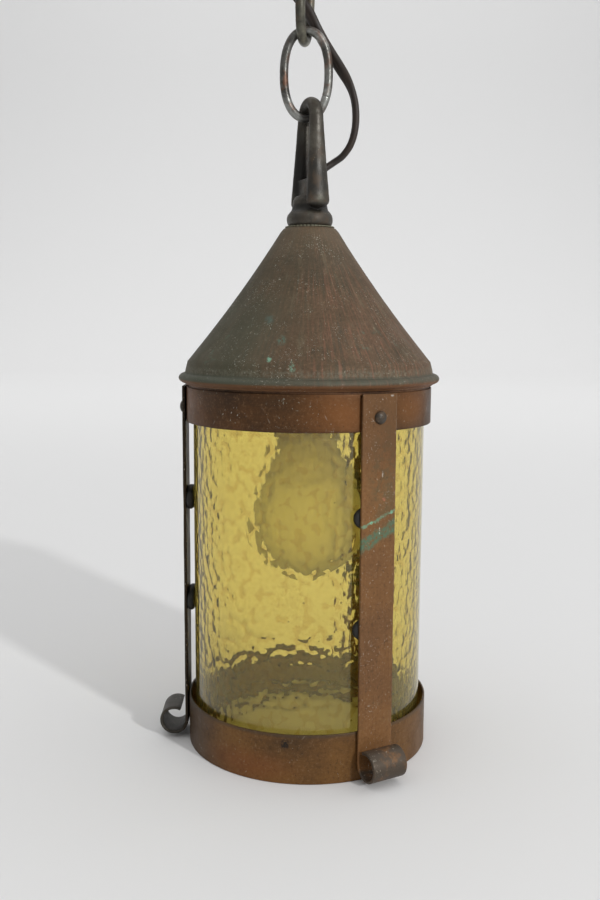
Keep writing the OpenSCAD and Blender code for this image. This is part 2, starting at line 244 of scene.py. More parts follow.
def roughen(obj, amount, size, seed, inward=False):
    """Moves each vertex along its normal by smooth noise of that size, in metres."""
    mesh = obj.data
    count = len(mesh.vertices)
    co = np.empty(count * 3)
    mesh.vertices.foreach_get("co", co)
    no = np.empty(count * 3)
    mesh.vertices.foreach_get("normal", no)
    co, no = co.reshape(-1, 3), no.reshape(-1, 3)
    shift = Vector((seed * 7.3, seed * 3.1, seed * 5.7))
    wave = np.array([noise.fractal(Vector(p / size) + shift, 1.0, 2.0, 3) for p in co])
    wave = np.clip(wave, -1, 1)
    if inward:
        wave = -np.abs(wave)
    co += no * (wave * amount)[:, None]
    mesh.vertices.foreach_set("co", co.ravel())
    mesh.update()


def join(name, parts):
    """One object from several, keeping their meshes and UVs."""
    for obj in bpy.context.view_layer.objects:
        obj.select_set(False)
    for obj in parts:
        obj.select_set(True)
    bpy.context.view_layer.objects.active = parts[0]
    bpy.ops.object.join()
    parts[0].name = name
    parts[0].data.name = name
    return parts[0]


def apply_modifiers(obj):
    deps = bpy.context.evaluated_depsgraph_get()
    mesh = bpy.data.meshes.new_from_object(obj.evaluated_get(deps))
    old = obj.data
    obj.modifiers.clear()
    obj.data = mesh
    bpy.data.meshes.remove(old)


CAST_VOXEL = 0.36 * MM


def fuse(obj, rounds):
    """Melts overlapping closed shapes into one skin, as a casting has."""
    melt = obj.modifiers.new("melt", "REMESH")
    melt.mode = "VOXEL"
    melt.voxel_size = CAST_VOXEL
    melt.use_smooth_shade = True
    soft = obj.modifiers.new("soft", "SMOOTH")
    soft.iterations = rounds
    soft.factor = 0.5
    apply_modifiers(obj)


def turn_mesh(obj, degrees, axis="Z"):
    obj.data.transform(Matrix.Rotation(math.radians(degrees), 4, axis))
    return obj


def move_mesh(obj, place):
    obj.data.transform(Matrix.Translation(place))


def scallop(obj, depth, wave, past, below=math.inf):
    """Draws the vertices past a radius and below a height inwards, by a wave round the axis."""
    for vert in obj.data.vertices:
        r = math.hypot(vert.co.x, vert.co.y)
        if r > past and vert.co.z < below:
            shrink = 1 - depth * wave(vert.co) / r
            vert.co.x *= shrink
            vert.co.y *= shrink


def finish_piece(obj, look, body, nodes):
    obj.data.materials.clear()
    obj.data.materials.append(LOOKS[look].material)
    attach(obj, body)
    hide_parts(*nodes)
    return obj


# ---------------------------------------------------------------- material tools


def tone(code):
    """A colour written as six hex digits, as the linear colour that shaders use."""
    parts = [int(code[i:i + 2], 16) / 255 for i in (0, 2, 4)]
    return tuple(c / 12.92 if c < 0.04045 else ((c + 0.055) / 1.055) ** 2.4 for c in parts) + (1,)


class Look:
    """A material and short ways to wire its nodes."""

    def __init__(self, name):
        self.material = bpy.data.materials.new(name)
        self.material.use_nodes = True
        self.tree = self.material.node_tree
        self.shader = self.tree.nodes["Principled BSDF"]
        place = self.tree.nodes.new("ShaderNodeTexCoord").outputs
        self.here, self.flat = place["Object"], place["UV"]

    def add(self, kind, ins, out=0, **settings):
        node = self.tree.nodes.new(kind)
        for key, value in settings.items():
            setattr(node, key, value)
        for key, value in ins.items():
            self.feed(node.inputs[key], value)
        return node.outputs[out]

    def feed(self, socket, value):
        if isinstance(value, bpy.types.NodeSocket):
            self.tree.links.new(value, socket)
        else:
            socket.default_value = value

    def set(self, **ins):
        for key, value in ins.items():
            self.feed(self.shader.inputs[key.replace("_", " ")], value)

    def stretch(self, vector, scale, move=(0, 0, 0), turn=0.0):
        return self.add("ShaderNodeMapping", {"Vector": vector, "Scale": scale, "Location": move,
                                              "Rotation": (0, 0, math.radians(turn))})

    def noise(self, vector, scale, detail=4, rough=0.55, bend=0.0):
        return self.add("ShaderNodeTexNoise", {"Vector": vector, "Scale": scale, "Detail": detail,
                                               "Roughness": rough, "Distortion": bend})

    def cells(self, vector, scale):
        return self.add("ShaderNodeTexVoronoi", {"Vector": vector, "Scale": scale})

    def ramp(self, value, *stops):
        node = self.tree.nodes.new("ShaderNodeValToRGB")
        band = node.color_ramp
        while len(band.elements) < len(stops):
            band.elements.new(0.5)
        for element, (at, colour) in zip(band.elements, stops):
            element.position = at
            element.color = tone(colour) if isinstance(colour, str) else (colour,) * 3 + (1,)
        self.feed(node.inputs["Fac"], value)
        return node.outputs["Color"]

    def mask(self, value, low, high):
        """0 below low, 1 above high, smooth in between. low over high turns it round."""
        return self.add("ShaderNodeMapRange", {"Value": value, 1: low, 2: high, 3: 0.0, 4: 1.0},
                        interpolation_type="SMOOTHSTEP")

    def math(self, how, a, b=0.0):
        return self.add("ShaderNodeMath", {0: a, 1: b}, operation=how)

    def remap(self, value, low, high, start, end):
        """The value's range from low to high, stretched to run from start to end."""
        return self.add("ShaderNodeMapRange", {"Value": value, 1: low, 2: high, 3: start, 4: end})

    def mix(self, amount, a, b):
        a, b = (tone(c) if isinstance(c, str) else c for c in (a, b))
        return self.add("ShaderNodeMix", {0: amount, 6: a, 7: b}, out=2, data_type="RGBA")

    def bump(self, value, strength, depth):
        return self.add("ShaderNodeBump",
                        {"Height": value, "Strength": strength, "Distance": depth})

    def part(self, axis):
        return self.add("ShaderNodeSeparateXYZ", {"Vector": self.here}, out="XYZ".index(axis))

    def across(self, direction):
        """How far each point lies along a direction from the origin."""
        return self.add("ShaderNodeVectorMath", {0: self.here, 1: direction}, out="Value",
                        operation="DOT_PRODUCT")

    def from_axis(self):
        """Distance from the upright axis."""
        level = self.stretch(self.here, (1, 1, 0))
        return self.add("ShaderNodeVectorMath", {0: level}, out="Value", operation="LENGTH")

    def both(self, a, b):
        return self.math("MULTIPLY", a, b)

    def dashes(self, flat, size, longer, turn, thin, seed):
        """Short fine scratches: 1 on a scratch and 0 off it. Size is their spacing in metres."""
        turned = self.stretch(flat, (1, 1, 1), (seed, seed * 0.7, 0), turn)
        cells = self.cells(self.stretch(turned, (1 / size, 1 / (size * longer), 1 / size)), 1.0)
        return self.mask(cells, thin, thin * 0.4)

    def fade(self, amount, colour, onto):
        """Lays a colour onto another by an amount between 0 and 1."""
        return self.mix(amount, onto, colour)

    def coat(self, amount, colour, strength=None):
        """Lays a colour onto what the piece has so far, by an amount times a strength."""
        if strength is not None:
            amount = self.both(amount, strength)
        self.colour = self.fade(amount, colour, self.colour)

    def blots(self, low, high, *shape):
        """Patches where noise on the piece, of that scale and shape, runs from low to high."""
        return self.mask(self.noise(self.here, *shape), low, high)

    def rise(self, low, high):
        """0 below one height over the lantern's base and 1 above the other, in millimetres."""
        return self.mask(self.part("Z"), height(low), height(high))

    def near(self, centre, size, soft):
        """1 round a centre point, falling to 0 at the size given for each axis."""
        scale = tuple(1 / s for s in size)
        move = tuple(-c / s for c, s in zip(centre, size))
        moved = self.stretch(self.here, scale, move)
        far = self.add("ShaderNodeVectorMath", {0: moved}, out="Value", operation="LENGTH")
        return self.mask(far, 1.0, 1.0 - soft)


# ---------------------------------------------------------------- materials


def copper_look(name, base, warm, dark, green=0.1, lines="round", rough=0.46):
    """Aged copper: brown skin with soft smudges, drawn lines, rub marks, specks and scratches.

    lines says which way the drawn lines run: round, along, or none where the piece has no UVs."""
    look = Look(name)
    if lines == "none":
        look.flat = look.here
    scale = {"round": (14, 380, 1), "along": (380, 12, 1), "none": (60, 60, 60)}[lines]
    drawn = look.noise(look.stretch(look.flat, scale), 3.0, 5, 0.6)
    cloud = look.noise(look.here, 19, 5, 0.55, 0.5)
    patch = look.noise(look.here, 62, 6, 0.66, 0.8)
    fine = look.noise(look.here, 1100, 3, 0.6)
    look.colour = look.ramp(cloud, (0.36, dark), (0.5, base), (0.66, warm))
    look.coat(look.mask(patch, 0.5, 0.76), dark, 0.5)
    look.coat(look.mask(drawn, 0.45, 0.8), warm, 0.4)
    look.coat(look.mask(drawn, 0.42, 0.2), "2f2218", 0.5)
    grain = look.noise(look.here, 620, 4, 0.78)
    look.coat(look.mask(grain, 0.53, 0.7), "97795a", 0.3)
    look.coat(look.mask(grain, 0.47, 0.32), "2a2019", 0.45)
    look.coat(look.mask(fine, 0.52, 0.8), "9a7a5c", 0.15)
    bloom = look.both(look.blots(0.56, 0.76, 46, 6, 0.75, 0.8), green)
    look.coat(bloom, "5d6f5a")
    look.height = look.math("ADD", look.both(drawn, 0.5), look.both(fine, 0.35))
    look.rough_map = look.remap(patch, 0.3, 0.7, rough - 0.07, rough + 0.14)
    return look


def add_specks(look, size, amount, colour="bdbcab"):
    """Pale crumbs of lime and paint in loose clusters, of many sizes and shapes."""
    crumb = look.blots(0.635, 0.675, 1.6 / size, 3, 0.75, 0.3)
    cluster = look.blots(0.44, 0.62, 55, 4, 0.7)
    speck = look.both(look.both(crumb, cluster), amount)
    look.coat(speck, colour)
    look.height = look.math("ADD", look.height, look.both(speck, 0.5))


def add_pits(look, size, amount):
    pit = look.both(look.mask(look.cells(look.stretch(look.here, (1, 1, 1), (3, 1, 2)), 1 / size),
                              0.13, 0.05), amount)
    look.coat(pit, "241c15")
    look.height = look.math("SUBTRACT", look.height, pit)


def add_scratches(look, amount, where=None, colour="c9bfae", size=0.0032, longer=5.0):
    """Fine pale scratches in three directions, over the whole piece or where a mask says."""
    for number, turn in enumerate((8, 38, -27)):
        scratch = look.dashes(look.flat, size, longer, turn, 0.12, number * 0.37 + 0.11)
        scratch = look.both(scratch, amount)
        loose = look.mask(look.noise(look.stretch(look.here, (1, 1, 1), (number, 2, 5)), 70, 3),
                          0.5, 0.62)
        scratch = look.both(scratch, loose if where is None else where)
        look.coat(scratch, colour)
        look.height = look.math("SUBTRACT", look.height, look.both(scratch, 0.6))


def close_copper(look, metal=0.4, bump=0.3):
    """Wires the colour, roughness and bump that were built up into the shader."""
    look.set(Base_Color=look.colour, Roughness=look.rough_map, Metallic=metal,
             Specular_IOR_Level=0.3)
    look.set(Normal=look.bump(look.height, bump, 0.00022))
    return look


def upper_band_look():
    look = copper_look("aged_copper_upper_band", "4f341b", "644021", "392718", 0.05)
    # Painted highlight: a warmer, lighter patch on the front of the band.
    painted_highlight = look.near((0.018, -0.062, height(180)), (0.03, 0.03, 0.016), 0.9)
    look.coat(painted_highlight, "7c4c20", 0.5)
    # Painted light: the band's right side, towards the key light, is made lighter and warmer.
    right_painted_light = look.near((0.05, -0.04, height(180)), (0.022, 0.024, 0.014), 0.9)
    look.coat(right_painted_light, "7c4e20", 0.55)
    edge = look.rise(172.6, 171)
    look.coat(edge, "3a281c", 0.5)
    rubbed = look.near((-0.036, -0.0515, height(176)), (0.011, 0.011, 0.008), 0.7)
    add_specks(look, 0.0024, 0.55)
    add_scratches(look, 0.2)
    add_scratches(look, 0.9, rubbed, "dcd8cd", 0.0017, 3.0)
    add_pits(look, 0.004, 0.4)
    return close_copper(look)


def base_band_look():
    look = copper_look("aged_copper_base_band", "644524", "735028", "4a351f", 0.05)
    # Painted light: the inner wall low down is made lighter and amber, as if lit by light coming
    # through the glass.
    inner = look.mask(look.from_axis(), BAND_R - 0.4 * MM, BAND_R - 0.6 * MM)
    inner = look.both(inner, look.rise(23, 18))
    look.coat(inner, "a9824a", 0.75)
    top_edge = look.rise(22.6, 24.6)
    look.coat(top_edge, "443c31", 0.6)
    # Painted shade: the band's left side, away from the key light, is darkened.
    painted_band_shade = look.mask(look.part("X"), -0.036, -0.06)
    look.coat(painted_band_shade, "372e25", 0.65)
    red = look.near((-0.03, -0.056, height(7)), (0.035, 0.03, 0.012), 0.9)
    look.coat(red, "7d4226", 0.35)
    nick = look.near((-0.0103, -0.0627, height(20.2)), (0.0028, 0.004, 0.0034), 0.6)
    nick = look.both(nick, look.blots(0.4, 0.55, 900, 3))
    look.coat(nick, "1c1a18", 0.9)
    rubbed = look.near((-0.042, -0.048, height(14)), (0.012, 0.012, 0.007), 0.8)
    add_specks(look, 0.0026, 0.5)
    add_scratches(look, 0.12)
    add_scratches(look, 0.5, rubbed, "9a9184", 0.0024, 3.0)
    add_pits(look, 0.0036, 0.45)
    return close_copper(look)


FRONT_STRAP = 31
STRAP_SIDE = (math.cos(math.radians(FRONT_STRAP)), math.sin(math.radians(FRONT_STRAP)), 0)


def strap_look():
    """The straps. The front one carries a slanting verdigris stain and a few bright knocks; the
    left one is darkened with painted shade.
    """
    look = copper_look("aged_copper_strap", "775330", "855d37", "6a4a2d", 0.1, "along")
    across = look.across(STRAP_SIDE)
    up = look.part("Z")
    on_front = look.mask(look.math("ABSOLUTE", across), 0.0112, 0.0108)
    ragged = look.both(look.math("SUBTRACT", look.noise(look.here, 260, 5, 0.7), 0.5), 0.006)
    for middle, slope, half, tint, amount in ((121.4, 0.44, 4.4, "4f7059", 0.85),
                                              (129.6, 0.37, 0.9, "6f9c80", 0.75)):
        line = look.math("MULTIPLY_ADD", across, slope)
        line.node.inputs[2].default_value = height(middle)
        off = look.math("ABSOLUTE", look.math("SUBTRACT", look.math("SUBTRACT", up, line), ragged))
        stain = look.both(look.mask(off, half * MM, half * 0.45 * MM), on_front)
        grainy = look.blots(0.32, 0.55, 700, 4, 0.7)
        look.coat(look.both(look.both(stain, grainy), amount), tint)
    for across_mm, up_mm, wide, tall, tint in ((3.0, 139, 1.2, 1.3, "b06f52"),
                                               (1.9, 151, 0.45, 2.0, "e3e0d6"),
                                               (0.6, 123.8, 0.4, 2.2, "cfd8c8"),
                                               (-4.2, 128, 1.1, 0.8, "86c3a2"),
                                               (7.4, 132.3, 0.9, 1.2, "7fc0a0"),
                                               (6.8, 188.0, 1.1, 0.7, "e0dbcf")):
        x, y = (c * across_mm * MM for c in STRAP_SIDE[:2])
        centre = (x + STRAP_SIDE[1] * STRAP_OUT, y - STRAP_SIDE[0] * STRAP_OUT, height(up_mm))
        spot = look.near(centre, (wide * MM, wide * MM, tall * MM), 0.5)
        spot = look.both(spot, look.blots(0.36, 0.5, 1300, 3))
        look.coat(spot, tint, 0.9)
    olive = look.near((0.036, -0.0545, height(152)), (0.012, 0.012, 0.036), 0.7)
    olive = look.both(olive, look.blots(0.4, 0.58, 190, 6, 0.75))
    look.coat(olive, "5c5138", 0.75)
    edge = look.both(look.mask(across, 9.0 * MM, 9.5 * MM), look.rise(169, 173))
    edge = look.both(edge, look.blots(0.42, 0.55, 420, 4, 0.7))
    look.coat(edge, "b3a58c", 0.7)
    high = look.rise(140, 166)
    look.coat(high, "5c4129", 0.6)
    # Painted shade: the left strap, away from the key light, is darkened.
    left_painted_shade = look.mask(look.part("X"), -0.052, -0.056)
    look.coat(left_painted_shade, "211e16", 0.9)
    scroll = look.mask(look.from_axis(), 0.0662, 0.0676)
    mottled = look.blots(0.22, 0.5, 120, 5, 0.65)
    look.coat(look.both(scroll, mottled), "43403a", 0.88)
    add_specks(look, 0.0013, 0.8, "cdc7b8")
    add_scratches(look, 0.65, None, "c0b3a0", 0.0018, 3.0)
    add_pits(look, 0.003, 0.5)
    return close_copper(look)


def roof_look():
    """The roof: olive on the left with painted shade there, brown with reddish streaks that are
    stronger on the right as painted light, dusty at the bead.
    """
    look = copper_look("patinated_copper_roof", "554634", "624c3a", "453d2f", 0.0, rough=0.6)
    streak = look.noise(look.stretch(look.flat, (270, 17, 1)), 2.0, 6, 0.75)
    # Painted light: the reddish streaks are made stronger towards the right, the side the key
    # light falls on.
    side = look.mask(look.math("ADD", look.part("X"),
                               look.both(look.noise(look.here, 30, 3), 0.02)), -0.004, 0.022)
    red = look.both(look.mask(streak, 0.5, 0.64), look.math("ADD", look.both(side, 0.55), 0.25))
    look.coat(red, "7f5946", 0.8)
    look.coat(look.mask(streak, 0.47, 0.33), "414137", 0.7)
    smear = look.noise(look.stretch(look.flat, (60, 22, 1), (3, 1, 0)), 2.0, 6, 0.75)
    look.coat(look.mask(smear, 0.53, 0.68), "6f6550", 0.5)
    look.coat(look.mask(smear, 0.45, 0.3), "3d3529", 0.55)
    top = look.rise(238, 272)
    look.coat(top, "716350", 0.4)
    broad = look.noise(look.here, 16, 5, 0.65, 0.6)
    # Olive tone and painted shade: the roof's left, away from the key light, is made darker and
    # greener.
    left_painted_shade = look.mask(look.math("ADD", look.part("X"), look.both(broad, 0.05)), 0.03, -0.015)
    look.coat(left_painted_shade, "4d4d3d", 0.7)
    spots = look.both(look.blots(0.6, 0.72, 75, 6, 0.75), 0.6)
    low = look.rise(245, 208)
    look.coat(look.both(spots, low), "55705f")
    bright = look.blots(0.64, 0.71, 330, 4, 0.8, 0.4)
    bright = look.both(bright, look.blots(0.44, 0.6, 28, 3))
    look.coat(look.both(bright, low), "67917a", 0.7)
    for x, y, up_mm, reach, tint in ((-7.5, -60.5, 200.6, 2.5, "7fb29a"),
                                     (-18.4, -57, 204.5, 1.7, "7ba890"),
                                     (-19.5, -45, 224.5, 4.2, "53685f"),
                                     (-13, -53, 214, 3.2, "566a5c"),
                                     (25.5, -17, 252.5, 3.4, "5f7378"),
                                     (11, -43, 219, 2.2, "3d4a4c")):
        knock = look.near((x * MM, y * MM, height(up_mm)),
                          (reach * MM, reach * 1.6 * MM, reach * 1.2 * MM), 0.7)
        knock = look.both(knock, look.blots(0.4, 0.55, 520, 4, 0.7))
        look.coat(knock, tint, 0.9)
    crease = look.both(look.rise(196.2, 197.2),
                       look.rise(200.4, 198.6))
    dust = look.blots(0.38, 0.6, 800, 4, 0.7)
    look.coat(look.both(crease, dust), "7c7c6c", 0.3)
    bead = look.both(look.rise(192.6, 194.2),
                     look.rise(197.2, 195.8))
    look.coat(bead, "50554a", 0.6)
    under = look.rise(193.4, 192.4)
    look.coat(under, "6b4425", 0.75)
    add_specks(look, 0.0019, 0.8)
    add_specks(look, 0.0011, 0.75, "c4c2b4")
    add_scratches(look, 0.4, None, "aea591", 0.0026, 3.0)
    return close_copper(look, 0.3, 0.35)


def plain_copper_look():
    look = copper_look("aged_copper_inside", "5e412c", "6f4d33", "43301f", 0.06, "none")
    add_specks(look, 0.003, 0.4)
    return close_copper(look)


def canopy_look():
    look = copper_look("aged_copper_canopy", "64452f", "7a5437", "483423", 0.12)
    add_specks(look, 0.0026, 0.5)
    add_scratches(look, 0.2)
    return close_copper(look)


def bronze_look(name, base="433f38", light="5b5850", brown="54402f", rough=0.42, metal=0.35,
                soot_and_shade=()):
    """Dark bronze. The last argument lists places darkened by soot and by painted shade: their
    centre and their reach.
    """
    look = Look(name)
    here = look.here
    cloud = look.noise(here, 60, 6, 0.65, 0.6)
    patch = look.noise(here, 150, 5, 0.65, 0.5)
    fine = look.noise(here, 1500, 3, 0.6)
    look.colour = look.ramp(cloud, (0.35, "2c2a25"), (0.5, base), (0.68, light))
    look.coat(look.mask(patch, 0.48, 0.7), brown, 0.6)
    green = look.both(look.blots(0.55, 0.72, 95, 5, 0.7), 0.4)
    look.coat(green, "4a4f3e")
    speck = look.mask(look.cells(here, 700), 0.14, 0.06)
    speck = look.both(speck, look.blots(0.48, 0.62, 110, 2))
    look.coat(speck, "a7a08a", 0.6)
    # Each listed place is darkened: soot and painted shade where parts bear on each other, painted
    # shade in recesses and away from the key light.
    for centre, reach in soot_and_shade:
        spot = look.near(centre, reach, 0.6)
        look.coat(spot, "12110d", 0.85)
    look.set(Base_Color=look.colour, Metallic=metal)
    look.set(Roughness=look.remap(patch, 0.3, 0.7, rough - 0.08, rough + 0.14))
    grain = look.math("ADD", look.both(patch, 0.8), look.both(fine, 0.4))
    look.set(Normal=look.bump(grain, 0.55, 0.0004))
    return look


def metal_look(name, colour, dark, rough=0.32, scale=300):
    look = Look(name)
    here = look.here
    cloud = look.noise(here, scale * 0.3, 5, 0.6)
    fine = look.noise(look.stretch(here, (1, 1, 8)), scale * 2, 3, 0.6)
    look.set(Base_Color=look.ramp(cloud, (0.35, dark), (0.65, colour)), Metallic=1.0)
    look.set(Roughness=look.remap(fine, 0.3, 0.7, rough, rough + 0.2))
    look.set(Normal=look.bump(fine, 0.12, 0.0001))
    return look


def glass_look():
    """Amber glass that tints by its depth, with wrinkles, seeds and a veil of dust outside."""
    look = Look("amber_hammered_glass")
    here = look.here
    seed = look.both(look.mask(look.cells(here, 110), 0.08, 0.04),
                     look.blots(0.42, 0.55, 50, 2))
    stain = look.both(look.blots(0.55, 0.75, 38, 4, 0.6), 0.12)
    outside = look.mask(look.from_axis(), GLASS_R - 1.2 * MM, GLASS_R - 0.6 * MM)
    ridge = look.mask(look.from_axis(), GLASS_R - GLASS_T - 0.04 * MM,
                      GLASS_R - GLASS_T - 0.12 * MM)
    colour = look.fade(look.both(ridge, 0.42), "c9983f", tone("fefefc"))
    colour = look.fade(outside, GLASS_SKIN, colour)
    colour = look.fade(look.both(seed, 0.8), "5c4a1e", look.fade(stain, "d9b95a", colour))
    look.set(Base_Color=colour, IOR=1.48)
    dust = look.noise(look.stretch(here, (1, 1, 0.5)), 210, 6, 0.75)
    veil = look.both(outside, look.remap(dust, 0.3, 0.75, GLASS_VEIL * 0.7, GLASS_VEIL * 1.35))
    look.set(Transmission_Weight=look.math("SUBTRACT", 1.0, veil))
    look.set(Roughness=look.remap(dust, 0.3, 0.8, 0.03, 0.1))
    wrinkle = look.noise(look.stretch(here, (1, 1, 0.34)), 430, 3, 0.55, 0.4)
    inside = look.both(look.math("SUBTRACT", 1.0, outside), wrinkle)
    look.set(Normal=look.bump(inside, 0.32, 0.0005))
    amber = look.tree.nodes.new("ShaderNodeVolumeAbsorption")
    amber.inputs["Color"].default_value = GLASS_AMBER
    amber.inputs["Density"].default_value = GLASS_DENSITY
    look.tree.links.new(amber.outputs[0], look.tree.nodes["Material Output"].inputs["Volume"])
    return look


def bulb_look():
    look = Look("bulb_frosted_glass")
    here = look.here
    cloud = look.noise(here, 60, 4, 0.5)
    # Painted shade: the bulb's upper part, up under the roof, is darkened.
    painted_top_shade = look.rise(128, 166)
    look.set(Base_Color=look.fade(look.both(painted_top_shade, 0.55), "b5a98c",
                                  look.ramp(cloud, (0.3, "fcfae6"), (0.7, "fefcec"))))
    look.set(Transmission_Weight=0.95, IOR=1.45)
    look.set(Roughness=look.remap(cloud, 0.3, 0.7, 0.3, 0.38))
    return look


def dull_look(name, colour, light, rough=0.6, scale=400):
    look = Look(name)
    here = look.here
    cloud = look.noise(here, scale * 0.25, 5, 0.6)
    fine = look.noise(here, scale * 3, 3, 0.6)
    look.set(Base_Color=look.ramp(cloud, (0.35, colour), (0.68, light)))
    look.set(Roughness=look.remap(cloud, 0.3, 0.7, rough - 0.08, rough + 0.1))
    look.set(Normal=look.bump(fine, 0.3, 0.0002))
    return look


GLASS_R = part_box("glass_cylinder")[1].x - 0.05 * MM
GLASS_VEIL = 0.07
GLASS_T = 3.0 * MM
GLASS_DENSITY = 395
GLASS_AMBER = (0.957, 0.943, 0.81, 1)
GLASS_SKIN = "f4df7e"
STRAP_OUT = BAND_R + 1.65 * MM

# Darkened places on the hanger: soot and painted shade where the ring bears on the arch, painted
# shade in the neck under the feet, and painted shade on the far leg, away from the key light.
HANGER_SOOT_AND_SHADE = (
    ((-1.5 * MM, 0, height(322)), (5 * MM, 5 * MM, 7 * MM)),
    ((0, 0, height(279)), (40 * MM, 40 * MM, 3.0 * MM)),
    ((-5.5 * MM, 7 * MM, height(299)), (6.5 * MM, 10 * MM, 30 * MM)),
)
# Darkened places on the wire links: soot and painted shade where they bear on the hanger and on
# each other.
LINK_SOOT_AND_SHADE = (
    ((-2.2 * MM, 0, height(323.85)), (5 * MM, 5 * MM, 5 * MM)),
    ((-3.6 * MM, 0, height(363)), (4 * MM, 5 * MM, 4 * MM)),
)

LOOKS = {
    "upper_band": upper_band_look(),
    "base_band": base_band_look(),
    "strap": strap_look(),
    "roof": roof_look(),
    "inside": plain_copper_look(),
    "canopy": canopy_look(),
    "bronze": bronze_look("dark_cast_bronze"),
    "hanger": bronze_look("dark_cast_hanger", "403b33", "5c5950", "50402f", soot_and_shade=HANGER_SOOT_AND_SHADE),
    "ring_link": bronze_look("worn_bronze_wire", "686763", "a8aaa6", "74492f", 0.33, 0.6,
                             LINK_SOOT_AND_SHADE),
    "upper_link": bronze_look("worn_bronze_upper_wire", "56544a", "87836f", "644832", 0.36, 0.5,
                              LINK_SOOT_AND_SHADE),
    "rivet": bronze_look("dark_rivet_head", "3f372d", "645748", "5a4128", 0.36),
    "brass": metal_look("old_brass", "a98a4e", "7d6235"),
    "washer": metal_look("dusty_toothed_washer", "8d8b7a", "5f5b4a", 0.5),
    "steel": metal_look("zinc_plated_steel", "a9aba9", "7f8180"),
    "glass": glass_look(),
    "bulb": bulb_look(),
    "rubber": dull_look("black_rubber", "100e0b", "1f1c15", 0.65),
    "phenolic": dull_look("brown_phenolic", "1d1613", "2f241d", 0.45),
    "flex": dull_look("brown_twin_flex", "1c130d", "2d2017", 0.55, 500),
    "tinned": metal_look("nickel_cap", "b9b7b0", "8e8c86", 0.25),
}

# ---------------------------------------------------------------- cord

# The cord's route over the base, in metres, from the canopy's bushing to the hanger's hole
ROUTE = [
    (-0.017, 0.005, 0.430), (-0.017, 0.005, 0.424), (-0.0166, 0.0052, 0.416),
    (-0.0156, 0.0055, 0.408), (-0.0138, 0.0056, 0.400), (-0.0112, 0.0054, 0.392),
    (-0.0082, 0.0048, 0.3856), (-0.0045, 0.0038, 0.3804), (-0.0008, 0.0038, 0.3752),
    (0.0024, 0.0043, 0.369), (0.0062, 0.0054, 0.3626), (0.0104, 0.0052, 0.356),
    (0.0149, 0.0042, 0.349), (0.019, 0.003, 0.342), (0.0218, 0.002, 0.3346),
    (0.0229, 0.0014, 0.327), (0.0226, 0.0012, 0.319), (0.0206, 0.0016, 0.3116),
    (0.0166, 0.0032, 0.306), (0.0118, 0.004, 0.3026), (0.0074, 0.003, 0.2994),
    (0.0039, 0.0016, 0.2954), (0.0014, 0.0005, 0.2906), (0.0, 0.0, 0.285),
]
CORD_WIDE = 0.0056
CORD_THIN = 0.0036
ROUTE_STEPS = 6
UPPER_CUT = 8
LOWER_CUT = 13


def smooth_route(points, steps):
    """A Catmull-Rom curve through the points."""
    pts = [np.array(p) for p in [points[0]] + points + [points[-1]]]
    out = []
    for a, b, c, d in zip(pts, pts[1:], pts[2:], pts[3:]):
        for k in range(steps):
            t = k / steps
            out.append(0.5 * (2 * b + (c - a) * t + (2 * a - 5 * b + 4 * c - d) * t * t
                              + (3 * b - a - 3 * c + d) * t ** 3))
    out.append(pts[-1])
    return [p + np.array((0, 0, BASE)) for p in out]


def twin_section(sides=28):
    """Two cores side by side, with a groove between them on both faces."""
    out = []
    for k in range(sides):
        t = 2 * math.pi * k / sides
        a, b = CORD_WIDE / 2, CORD_THIN / 2
        r = a * b / math.hypot(b * math.cos(t), a * math.sin(t))
        groove = math.exp(-(math.cos(t) / 0.22) ** 2)
        r *= 1 - 0.16 * groove
        out.append((r * math.cos(t), r * math.sin(t)))
    return out


def make_cord():
    path = smooth_route(ROUTE, ROUTE_STEPS)
    count = len(path)
    section = twin_section()
    wide_high, thin_low = height(352), height(334)
    side = []
    for i, p in enumerate(path):
        along = unit(path[min(i + 1, count - 1)] - path[max(i - 1, 0)])
        face = unit(np.cross(along, (0, 1, 0)))
        edge = np.cross(along, face)
        t = min(max((wide_high - p[2]) / (wide_high - thin_low), 0), 1)
        turn = math.radians(20 + 62 * t * t * (3 - 2 * t))
        side.append(face * math.cos(turn) + edge * math.sin(turn))
    cuts = [0, UPPER_CUT * ROUTE_STEPS, LOWER_CUT * ROUTE_STEPS, count - 1]
    names = ["cord_upper", "cord_middle", "cord_lower"]
    pairs = [("canopy", "upper_link"), ("upper_link", "ring_link"), ("ring_link", "lantern")]
    for name, pair, start, end in zip(names, pairs, cuts, cuts[1:]):
        run = path[start:end + 1]
        obj = sweep(name, run, [section] * len(run), side[start:end + 1])
        obj.data.materials.append(LOOKS["flex"].material)
        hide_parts("cord")
        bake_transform(obj)


make_cord()

# ---------------------------------------------------------------- copper pieces


def make_band(name, node):
    low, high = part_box(node)
    z0, z1 = low.z, high.z
    r = high.x
    inner = r - SHEET
    steps = 7
    up = [z0 + (z1 - z0) * k / steps for k in range(steps + 1)]
    outline = [(inner, z) for z in reversed(up)] + [(r, z) for z in up]
    outline = fillet(outline, 0.35 * MM, 3)
    obj = lathe(name, [tuple(p) for p in outline], 288)
    roughen(obj, 0.1 * MM, 0.03, 3 if node == "base_band" else 5, inward=True)
    return finish_piece(obj, node, "lantern", [node])


make_band("copper_upper_band", "upper_band")
make_band("copper_base_band", "base_band")

LIP_Z = height(190.1)
BEAD_Z = height(193.4)
LIP_R = BAND_R + 0.5 * MM
ROOF_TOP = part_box("roof_cone")[1].z


def roof_radius(drop):
    """Radius of the flared cone at a distance in metres below its flat top."""
    d = drop / MM
    return (13.6 + 0.627 * d + 0.0015 * d * d) * MM


